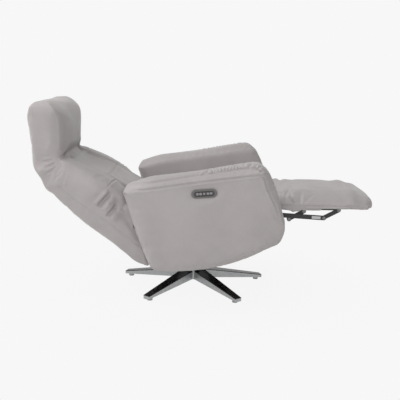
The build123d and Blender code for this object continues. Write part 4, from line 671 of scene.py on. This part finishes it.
# creases where the flap tucks in between the arms
for line, deep in (([(387, -262), (396, -200), (423, -68)], 5.6),
                   ([(414, -250), (422, -150), (442, 14)], 3.8),
                   ([(372, -250), (380, -150)], 4.2),
                   ([(404, 262), (412, 180), (430, 60)], 3.4),
                   ([(470, -240), (520, -190)], 1.8),
                   ([(452, -250), (470, -160)], 2.4)):
    work_line(legrest, LEVEL, line, 7, deep, face="top", where=top_of, bulge=0.5, lean=0.25, fade=0.25)
rise(legrest, lambda co: 1.2 * soft_noise(co, 9, 51) + 0.4 * soft_noise(co, 24, 52))
measure(legrest)

# %% Fasten the covers to the frame
COVERS = (
    (back, None, BACK_NODES, 0.75),
    (arm_right, "seat_unit", ["arm_right"], 0.8),
    (arm_left, "seat_unit", ["arm_left"], 0.8),
    (seat, "seat_unit", ["seat_cushion"], 0.75),
    (legrest, "legrest", LEGREST_NODES, 0.75),
)
for cover, body, nodes, fill in COVERS:
    only(cover)
    bpy.ops.object.shade_smooth()
    if body:
        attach(cover, body)
    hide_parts(*nodes)
# the skin of the back turns into the headrest across their hinge
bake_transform(back)
print(len(COVERS), "leather covers on the frame")

# %% [markdown]
# ## Strips on the legs
# Each leg of the star carries a gloss black strip that covers nearly its whole top. The strip of the
# frame is a little narrow for that, so a copy of it is widened about the middle line of each leg.

# %% Wide leg strips
LEG_ANGLES = np.array([radians(90 + 72 * i) for i in range(5)])
WIDEN_BY, LIFT_BY = 0.32, 0.0009
strips = bpy.data.objects.new("leg_strips", frame["nodes"]["leg_inlays"].data.copy())
bpy.context.scene.collection.objects.link(strips)
co = get_points(strips)
turn = np.arctan2(co[:, 1], co[:, 0])
# how far each point is turned from each leg, the short way round
off_leg = np.angle(np.exp(1j * (turn[:, None] - LEG_ANGLES[None])))
leg = LEG_ANGLES[np.argmin(np.abs(off_leg), axis=1)]
across_leg = -co[:, 0] * np.sin(leg) + co[:, 1] * np.cos(leg)
print("strip half width", round(float(np.abs(across_leg).max()) * 1000, 1), "mm before widening")
wider = WIDEN_BY * across_leg
co[:, 0] -= wider * np.sin(leg)
co[:, 1] += wider * np.cos(leg)
co[:, 2] += LIFT_BY
set_points(strips, co)
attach(strips, "base")
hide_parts("leg_inlays")

# %% [markdown]
# ## Shared effects for the finishes
# Several finishes need the same things: leather grain, a slight change of colour from place to
# place, and fine scratches. Each is made once as a node group and used with its own numbers.

# %% Node group helpers
def new_group(name, inputs, outputs):
    """An empty shader node group with named number inputs and outputs."""
    group = bpy.data.node_groups.new(name, "ShaderNodeTree")
    for socket, kind, value in inputs:
        s = group.interface.new_socket(name=socket, in_out="INPUT", socket_type=kind)
        if value is not None:
            s.default_value = value
    for socket, kind in outputs:
        group.interface.new_socket(name=socket, in_out="OUTPUT", socket_type=kind)
    return group, group.nodes.new("NodeGroupInput"), group.nodes.new("NodeGroupOutput")


def new_node(tree, kind, **inputs):
    """A shader node with some inputs set. An underscore stands for a space in an input's name."""
    node = tree.nodes.new("ShaderNode" + kind)
    for socket, value in inputs.items():
        node.inputs[socket.replace("_", " ")].default_value = value
    return node


def math_node(tree, operation, a, b=None, clamp=False):
    """Arithmetic on two values, each a number or another node's output."""
    node = new_node(tree, "Math")
    node.operation = operation
    node.use_clamp = clamp
    for socket, value in zip(node.inputs, (a, b)):
        if value is None:
            continue
        if isinstance(value, (int, float)):
            socket.default_value = value
        else:
            tree.links.new(value, socket)
    return node.outputs[0]


def noise_node(tree, vector, scale, detail):
    """Cloudy noise at a place."""
    node = new_node(tree, "TexNoise", Scale=scale, Detail=detail, Roughness=0.6)
    tree.links.new(vector, node.inputs["Vector"])
    return node.outputs["Fac"]


print("node helpers are ready")

# %% Leather grain group
grain_group, g_in, g_out = new_group(
    "leather_grain",
    [("Vector", "NodeSocketVector", None), ("Grain", "NodeSocketFloat", 1.0),
     ("Creases", "NodeSocketFloat", 1.0)],
    [("Height", "NodeSocketFloat"), ("Pores", "NodeSocketFloat"), ("Mottle", "NodeSocketFloat")],
)
# pebbles of about 2 mm, bent a little out of their even pattern
pebble = new_node(grain_group, "TexVoronoi")
pebble.feature = "SMOOTH_F1"
pebble.inputs["Scale"].default_value = 520
pebble.inputs["Smoothness"].default_value = 0.55
wobble = new_node(grain_group, "TexNoise", Scale=90)
wobble_small = new_node(grain_group, "VectorMath")
wobble_small.operation = "SCALE"
wobble_small.inputs["Scale"].default_value = 0.004
bent = new_node(grain_group, "VectorMath")
bent.operation = "ADD"
grain_group.links.new(g_in.outputs["Vector"], wobble.inputs["Vector"])
grain_group.links.new(wobble.outputs["Color"], wobble_small.inputs[0])
grain_group.links.new(g_in.outputs["Vector"], bent.inputs[0])
grain_group.links.new(wobble_small.outputs[0], bent.inputs[1])
grain_group.links.new(bent.outputs[0], pebble.inputs["Vector"])
# creases run where a cloudy noise crosses its middle value
crease_noise = noise_node(grain_group, g_in.outputs["Vector"], 42, 5)
crease_line = math_node(grain_group, "ABSOLUTE", math_node(grain_group, "SUBTRACT", crease_noise, 0.5))
crease_line = math_node(grain_group, "MULTIPLY", crease_line, 9.0, clamp=True)
pebble_height = math_node(grain_group, "SUBTRACT", 1.0, pebble.outputs["Distance"])
pebble_height = math_node(grain_group, "MULTIPLY", pebble_height, g_in.outputs["Grain"])
crease_height = math_node(grain_group, "MULTIPLY", crease_line, g_in.outputs["Creases"])
grain_group.links.new(math_node(grain_group, "ADD", pebble_height, crease_height), g_out.inputs["Height"])
grain_group.links.new(pebble.outputs["Distance"], g_out.inputs["Pores"])
mottle = noise_node(grain_group, g_in.outputs["Vector"], 7, 4)
grain_group.links.new(mottle, g_out.inputs["Mottle"])
print("node group", grain_group.name)

# %% Fine wear group for metal and plastic
wear_group, w_in, w_out = new_group(
    "fine_wear",
    [("Vector", "NodeSocketVector", None), ("Scale", "NodeSocketFloat", 60.0)],
    [("Cloud", "NodeSocketFloat"), ("Speckle", "NodeSocketFloat")],
)
cloud = new_node(wear_group, "TexNoise", Detail=5)
speckle = new_node(wear_group, "TexNoise", Detail=2)
# the speckle is this many times finer than the cloud
SPECKLE_FINER = 14.0
wear_group.links.new(w_in.outputs["Vector"], cloud.inputs["Vector"])
wear_group.links.new(w_in.outputs["Vector"], speckle.inputs["Vector"])
wear_group.links.new(w_in.outputs["Scale"], cloud.inputs["Scale"])
finer = math_node(wear_group, "MULTIPLY", w_in.outputs["Scale"], SPECKLE_FINER)
wear_group.links.new(finer, speckle.inputs["Scale"])
wear_group.links.new(cloud.outputs["Fac"], w_out.inputs["Cloud"])
wear_group.links.new(speckle.outputs["Fac"], w_out.inputs["Speckle"])
print("node group", wear_group.name)

# %% Start of a material
def linear(rgb):
    """Colour as screen numbers from 0 to 255, turned into the shader's linear light."""
    levels = [c / 255 for c in rgb]
    return tuple(c / 12.92 if c <= 0.04045 else ((c + 0.055) / 1.055) ** 2.4 for c in levels) + (1.0,)


def start_material(name, **sockets):
    """Material with a Principled shader, its plain numbers set, and Object coordinates."""
    material = bpy.data.materials.new(name)
    material.use_nodes = True
    tree = material.node_tree
    shader = tree.nodes["Principled BSDF"]
    for socket, value in sockets.items():
        shader.inputs[socket.replace("_", " ")].default_value = value
    place = new_node(tree, "TexCoord").outputs["Object"]
    return material, tree, shader, place


def place_group(tree, group, place, **numbers):
    """Puts a node group in a material, with its own numbers."""
    node = new_node(tree, "Group")
    node.node_tree = group
    for socket, value in numbers.items():
        node.inputs[socket].default_value = value
    tree.links.new(place, node.inputs["Vector"])
    return node.outputs


def mix_colour(tree, factor, a, b):
    """Goes from one colour to another as a value goes from 0 to 1."""
    node = new_node(tree, "Mix")
    node.data_type = "RGBA"
    node.inputs["A"].default_value = linear(a)
    node.inputs["B"].default_value = linear(b)
    tree.links.new(factor, node.inputs["Factor"])
    return node.outputs["Result"]


def spread(tree, factor, low, high, to_low, to_high):
    """Stretches one range of a value to another, and holds it there beyond its ends."""
    node = new_node(tree, "MapRange", From_Min=low, From_Max=high, To_Min=to_low, To_Max=to_high)
    tree.links.new(factor, node.inputs["Value"])
    return node.outputs["Result"]


def bump(tree, shader, height, strength, distance):
    """Raises the surface for the light, without moving it."""
    node = new_node(tree, "Bump", Strength=strength, Distance=distance)
    tree.links.new(height, node.inputs["Height"])
    tree.links.new(node.outputs["Normal"], shader.inputs["Normal"])


print("material helpers are ready")

# %% [markdown]
# ## Leather
# The leather is a soft warm grey with a fine pebble grain. Small creases run between the pebbles,
# the colour drifts a little over a hand's width, and the pores are a touch darker. A weak sheen
# lifts the turned edges, as on a lightly finished hide.

# %% Leather material
LEATHER, tree, shader, place = start_material(
    "grey_leather", Sheen_Weight=0.10, Sheen_Roughness=0.5, Specular_IOR_Level=0.38)
marks = place_group(tree, grain_group, place, Grain=0.55, Creases=0.35)
mottle = spread(tree, marks["Mottle"], 0.35, 0.65, 0.0, 1.0)
pores = spread(tree, marks["Pores"], 0.2, 0.9, 0.0, 0.25)
# drift and pores together say how deep the grey is
depth = math_node(tree, "ADD", math_node(tree, "MULTIPLY", mottle, 0.75), pores, clamp=True)
grey = mix_colour(tree, depth, (171, 166, 165), (163, 158, 157))
tree.links.new(grey, shader.inputs["Base Color"])
tree.links.new(spread(tree, marks["Mottle"], 0.3, 0.7, 0.44, 0.56), shader.inputs["Roughness"])
bump(tree, shader, marks["Height"], 0.35, 0.0012)
print("finish", LEATHER.name)

# %% [markdown]
# ## Metal, plastic, wood and webbing
# A real casting, bar or moulding is never one flat colour. Two close tones drift over it, its gloss
# changes with them, and a fine speckle breaks up its reflections. One function makes every metal and
# plastic finish from its two tones, its roughness and the size of its speckle. Plywood and webbing
# have patterns of their own.

# %% Metal and plastic materials
def hard_finish(name, one_tone, other_tone, rough, scale=60, bump_depth=0.0002, **sockets):
    """Metal or plastic: two close tones, a range of roughness and a fine speckle."""
    material, tree, shader, place = start_material(name, **sockets)
    marks = place_group(tree, wear_group, place, Scale=scale)
    tone = mix_colour(tree, marks["Cloud"], one_tone, other_tone)
    tree.links.new(tone, shader.inputs["Base Color"])
    tree.links.new(spread(tree, marks["Cloud"], 0.3, 0.7, *rough), shader.inputs["Roughness"])
    bump(tree, shader, marks["Speckle"], 0.3, bump_depth)
    print("finish", name)
    return material


SILVER = hard_finish("satin_silver_casting", (176, 177, 178), (158, 159, 160), (0.38, 0.5), Metallic=0.75)
GLOSS_BLACK = hard_finish("gloss_black_inlay", (7, 7, 8), (11, 11, 12), (0.2, 0.28), bump_depth=0.000001,
                          Specular_IOR_Level=0.2, Coat_Weight=0.05, Coat_Roughness=0.12)
COLUMN_STEEL = hard_finish("brushed_column", (190, 190, 192), (165, 165, 168), (0.25, 0.35), 120,
                           Metallic=1.0)
BLACK_STEEL = hard_finish("black_coated_steel", (40, 40, 41), (32, 32, 33), (0.35, 0.5), 90)
BRIGHT_STEEL = hard_finish("zinc_plated_steel", (128, 128, 127), (108, 109, 111), (0.25, 0.4), 200,
                           Metallic=1.0)
MOTOR_BLACK = hard_finish("moulded_black", (28, 28, 29), (36, 36, 37), (0.45, 0.6), 150)
PANEL_GREY = hard_finish("panel_grey", (104, 101, 101), (96, 93, 93), (0.28, 0.36), 150, Coat_Weight=0.15)
BUTTON_DARK = hard_finish("button_grey", (142, 140, 140), (130, 128, 128), (0.35, 0.45), 200)
GLIDE = hard_finish("glide_plastic", (158, 158, 159), (168, 168, 169), (0.5, 0.65), 180)
PLATE_BARE = hard_finish("bare_plate", (198, 199, 200), (182, 183, 185), (0.3, 0.42), 160, Metallic=0.3)

# %% Well of the control panel
# The rim is mid grey and the well inside it darker: a pill-shaped mask in the panel's own lines.
# Sizes are in metres: half the well's straight run, its round end, and half the width of its soft edge.
WELL_HALF, WELL_ROUND, WELL_EDGE = 0.0315, 0.0115, 0.0008
PANEL_LEAN = SEAT_LEAN - 4.0
tree = PANEL_GREY.node_tree
shader = tree.nodes["Principled BSDF"]
panel_middle = SEAT[0] + along(SEAT, np.array([[PANEL_FORWARD, 0.0, PANEL_UP]]))[0]
to_panel = new_node(tree, "Mapping")
to_panel.vector_type = "TEXTURE"
to_panel.inputs["Location"].default_value = panel_middle
to_panel.inputs["Rotation"].default_value = (0, -radians(PANEL_LEAN), 0)
tree.links.new(new_node(tree, "TexCoord").outputs["Object"], to_panel.inputs["Vector"])
parts = new_node(tree, "SeparateXYZ")
tree.links.new(to_panel.outputs["Vector"], parts.inputs[0])
past = math_node(tree, "SUBTRACT", math_node(tree, "ABSOLUTE", parts.outputs["X"]), WELL_HALF)
past = math_node(tree, "MAXIMUM", past, 0.0)
squares = [math_node(tree, "MULTIPLY", value, value) for value in (past, parts.outputs["Z"])]
reach = math_node(tree, "SQRT", math_node(tree, "ADD", *squares))
in_well = spread(tree, reach, WELL_ROUND - WELL_EDGE, WELL_ROUND + WELL_EDGE, 1.0, 0.0)
rim = shader.inputs["Base Color"].links[0].from_socket
well = new_node(tree, "Mix")
well.data_type = "RGBA"
well.inputs["B"].default_value = linear((58, 55, 55))
tree.links.new(rim, well.inputs["A"])
tree.links.new(in_well, well.inputs["Factor"])
tree.links.new(well.outputs["Result"], shader.inputs["Base Color"])
print("well of the panel at", [round(float(v), 3) for v in panel_middle])

# %% Plywood
PLYWOOD, tree, shader, place = start_material("birch_plywood", Specular_IOR_Level=0.3)
rings = new_node(tree, "TexWave", Scale=14, Distortion=5, Detail=3)
tree.links.new(place, rings.inputs["Vector"])
wood = mix_colour(tree, rings.outputs["Fac"], (196, 168, 128), (170, 138, 98))
tree.links.new(wood, shader.inputs["Base Color"])
tree.links.new(spread(tree, rings.outputs["Fac"], 0, 1, 0.55, 0.7), shader.inputs["Roughness"])
bump(tree, shader, rings.outputs["Fac"], 0.2, 0.0004)
print("finish", PLYWOOD.name)

# %% Webbing
WEBBING, tree, shader, place = start_material("elastic_webbing", Sheen_Weight=0.2)
weave = new_node(tree, "TexBrick", Scale=220, Mortar_Size=0.04, Color1=linear((52, 52, 54)),
                 Color2=linear((70, 70, 72)), Mortar=linear((34, 34, 35)))
tree.links.new(place, weave.inputs["Vector"])
tree.links.new(weave.outputs["Color"], shader.inputs["Base Color"])
tree.links.new(spread(tree, weave.outputs["Fac"], 0, 1, 0.8, 0.95), shader.inputs["Roughness"])
bump(tree, shader, weave.outputs["Fac"], 0.4, 0.0005)
print("finish", WEBBING.name)


# %% Put the finishes on
def put_on(piece, finish):
    """Gives a piece one finish all over."""
    piece.data.materials.clear()
    piece.data.materials.append(finish)


FINISHES = {
    "leather": LEATHER, "gloss_black": GLOSS_BLACK, "silver": SILVER, "steel_black": BLACK_STEEL,
    "steel_bright": BRIGHT_STEEL, "column_silver": COLUMN_STEEL, "plywood": PLYWOOD, "webbing": WEBBING,
    "motor_black": MOTOR_BLACK, "panel_grey": PANEL_GREY, "button_dark": BUTTON_DARK, "glide": GLIDE,
    "plate_bare": PLATE_BARE,
}
slot_of = {part["node"]: part["material_slot"] for part in frame["record"]["subparts"]}
for name, node in frame["nodes"].items():
    put_on(node, FINISHES[slot_of[name]])
for cover, *_ in COVERS:
    put_on(cover, LEATHER)
put_on(strips, GLOSS_BLACK)
print(len(slot_of), "nodes have a slot of the record;", len(frame["nodes"]), "nodes in all")

# %% [markdown]
# ## Room and light
# A plain pale floor meets a pale backdrop with no line between them. For what the camera sees, the
# floor glows at the backdrop's own level, and keeps a small share of real shading near the chair, so
# that a trace of its shadow stays. Broad, soft lamps light the chair from above its head end and from
# the camera's side, with a weak one behind.

# %% Helpers for floor and backdrop
def seen_rays(tree):
    """1 for what the camera sees, straight, mirrored or through glass, and 0 for light on the object."""
    rays = new_node(tree, "LightPath")
    straight = math_node(tree, "ADD", rays.outputs["Is Camera Ray"], rays.outputs["Is Glossy Ray"])
    return math_node(tree, "ADD", straight, rays.outputs["Is Transmission Ray"], clamp=True)


def mix_to_output(tree, factor, first, second, output):
    """Sends a mixture of two shaders to the output of a tree."""
    mixed = new_node(tree, "MixShader")
    tree.links.new(factor, mixed.inputs[0])
    tree.links.new(first.outputs[0], mixed.inputs[1])
    tree.links.new(second.outputs[0], mixed.inputs[2])
    tree.links.new(mixed.outputs[0], output.inputs["Surface"])


PALE = linear((247, 247, 247))
print("backdrop tone", [round(c, 3) for c in PALE])

# %% Floor
# the share of real shading, and how far from the middle, in metres, it starts and has faded away
SHADE_SHARE, SHADE_FROM, SHADE_TO = 0.035, 0.35, 1.0
bpy.ops.mesh.primitive_circle_add(vertices=96, radius=14, fill_type="NGON", location=(0, 0, 0))
floor = bpy.context.active_object
floor.name = "studio_floor"
floor_material = bpy.data.materials.new("pale_floor")
floor_material.use_nodes = True
tree = floor_material.node_tree
tree.nodes.clear()
output = new_node(tree, "OutputMaterial")
glow = new_node(tree, "Emission", Color=PALE)
paint = new_node(tree, "BsdfDiffuse", Color=(0.86, 0.86, 0.86, 1))
away = new_node(tree, "VectorMath")
away.operation = "LENGTH"
tree.links.new(new_node(tree, "TexCoord").outputs["Object"], away.inputs[0])
share = spread(tree, away.outputs["Value"], SHADE_FROM, SHADE_TO, SHADE_SHARE, 0.0)
glowing = math_node(tree, "MULTIPLY", math_node(tree, "SUBTRACT", 1.0, share), seen_rays(tree))
mix_to_output(tree, glowing, paint, glow, output)
floor.data.materials.append(floor_material)
print("floor", floor.name)

# %% Backdrop
world = bpy.data.worlds.new("plain_studio")
bpy.context.scene.world = world
world.use_nodes = True
tree = world.node_tree
tree.nodes.clear()
output = new_node(tree, "OutputWorld")
soft_light = new_node(tree, "Background", Color=(1, 1, 1, 1), Strength=0.47)
backdrop = new_node(tree, "Background", Color=PALE)
mix_to_output(tree, seen_rays(tree), soft_light, backdrop, output)
print("backdrop", world.name)


# %% Lamps
def lamp(name, place, aim, size, power):
    """A round soft lamp, its width in metres and its power in watts, turned to a point."""
    data = bpy.data.lights.new(name, "AREA")
    data.shape = "DISK"
    data.size = size
    data.energy = power
    ob = bpy.data.objects.new(name, data)
    bpy.context.scene.collection.objects.link(ob)
    ob.location = place
    ob.rotation_mode = "QUATERNION"
    ob.rotation_quaternion = (Vector(aim) - Vector(place)).to_track_quat("-Z", "Y")
    print(name, power, "W")


lamp("top_softbox", (-2.5, -0.3, 3.0), (0, 0, 0.4), 2.6, 66)
lamp("front_softbox", (-0.6, -3.9, 2.0), (0, 0, 0.45), 2.4, 51)
lamp("rear_softbox", (1.6, 3.0, 2.6), (0, 0, 0.5), 2.4, 4)

# %% [markdown]
# ## Camera
# The photograph looks at the chair squarely from its right side, from a little above, with a long
# lens a few steps away. The camera is tipped slightly, as the picture is.

# %% Camera
ELEVATION, ROLL = radians(11.16), radians(1.6)
DISTANCE = 3.30
# the lens was measured in pixels of the square picture, and is turned into millimetres
FOCAL_PIXELS, PICTURE_PIXELS, SENSOR = 708, 400, 36.0
aim = Vector((0.0215, 0.0, 0.4035))
back_off = Vector((0.0, -cos(ELEVATION), sin(ELEVATION)))
camera_data = bpy.data.cameras.new("camera")
camera_data.sensor_width = SENSOR
camera_data.lens = FOCAL_PIXELS * SENSOR / PICTURE_PIXELS
camera = bpy.data.objects.new("camera", camera_data)
bpy.context.scene.collection.objects.link(camera)
camera.location = aim + DISTANCE * back_off
camera.rotation_mode = "QUATERNION"
camera.rotation_quaternion = (-back_off).to_track_quat("-Z", "Y") @ Quaternion((0, 0, 1), ROLL)
bpy.context.scene.camera = camera
bpy.context.scene.view_settings.view_transform = "Standard"
print("camera at", [round(v, 3) for v in camera.location], "lens", round(camera_data.lens, 1), "mm")
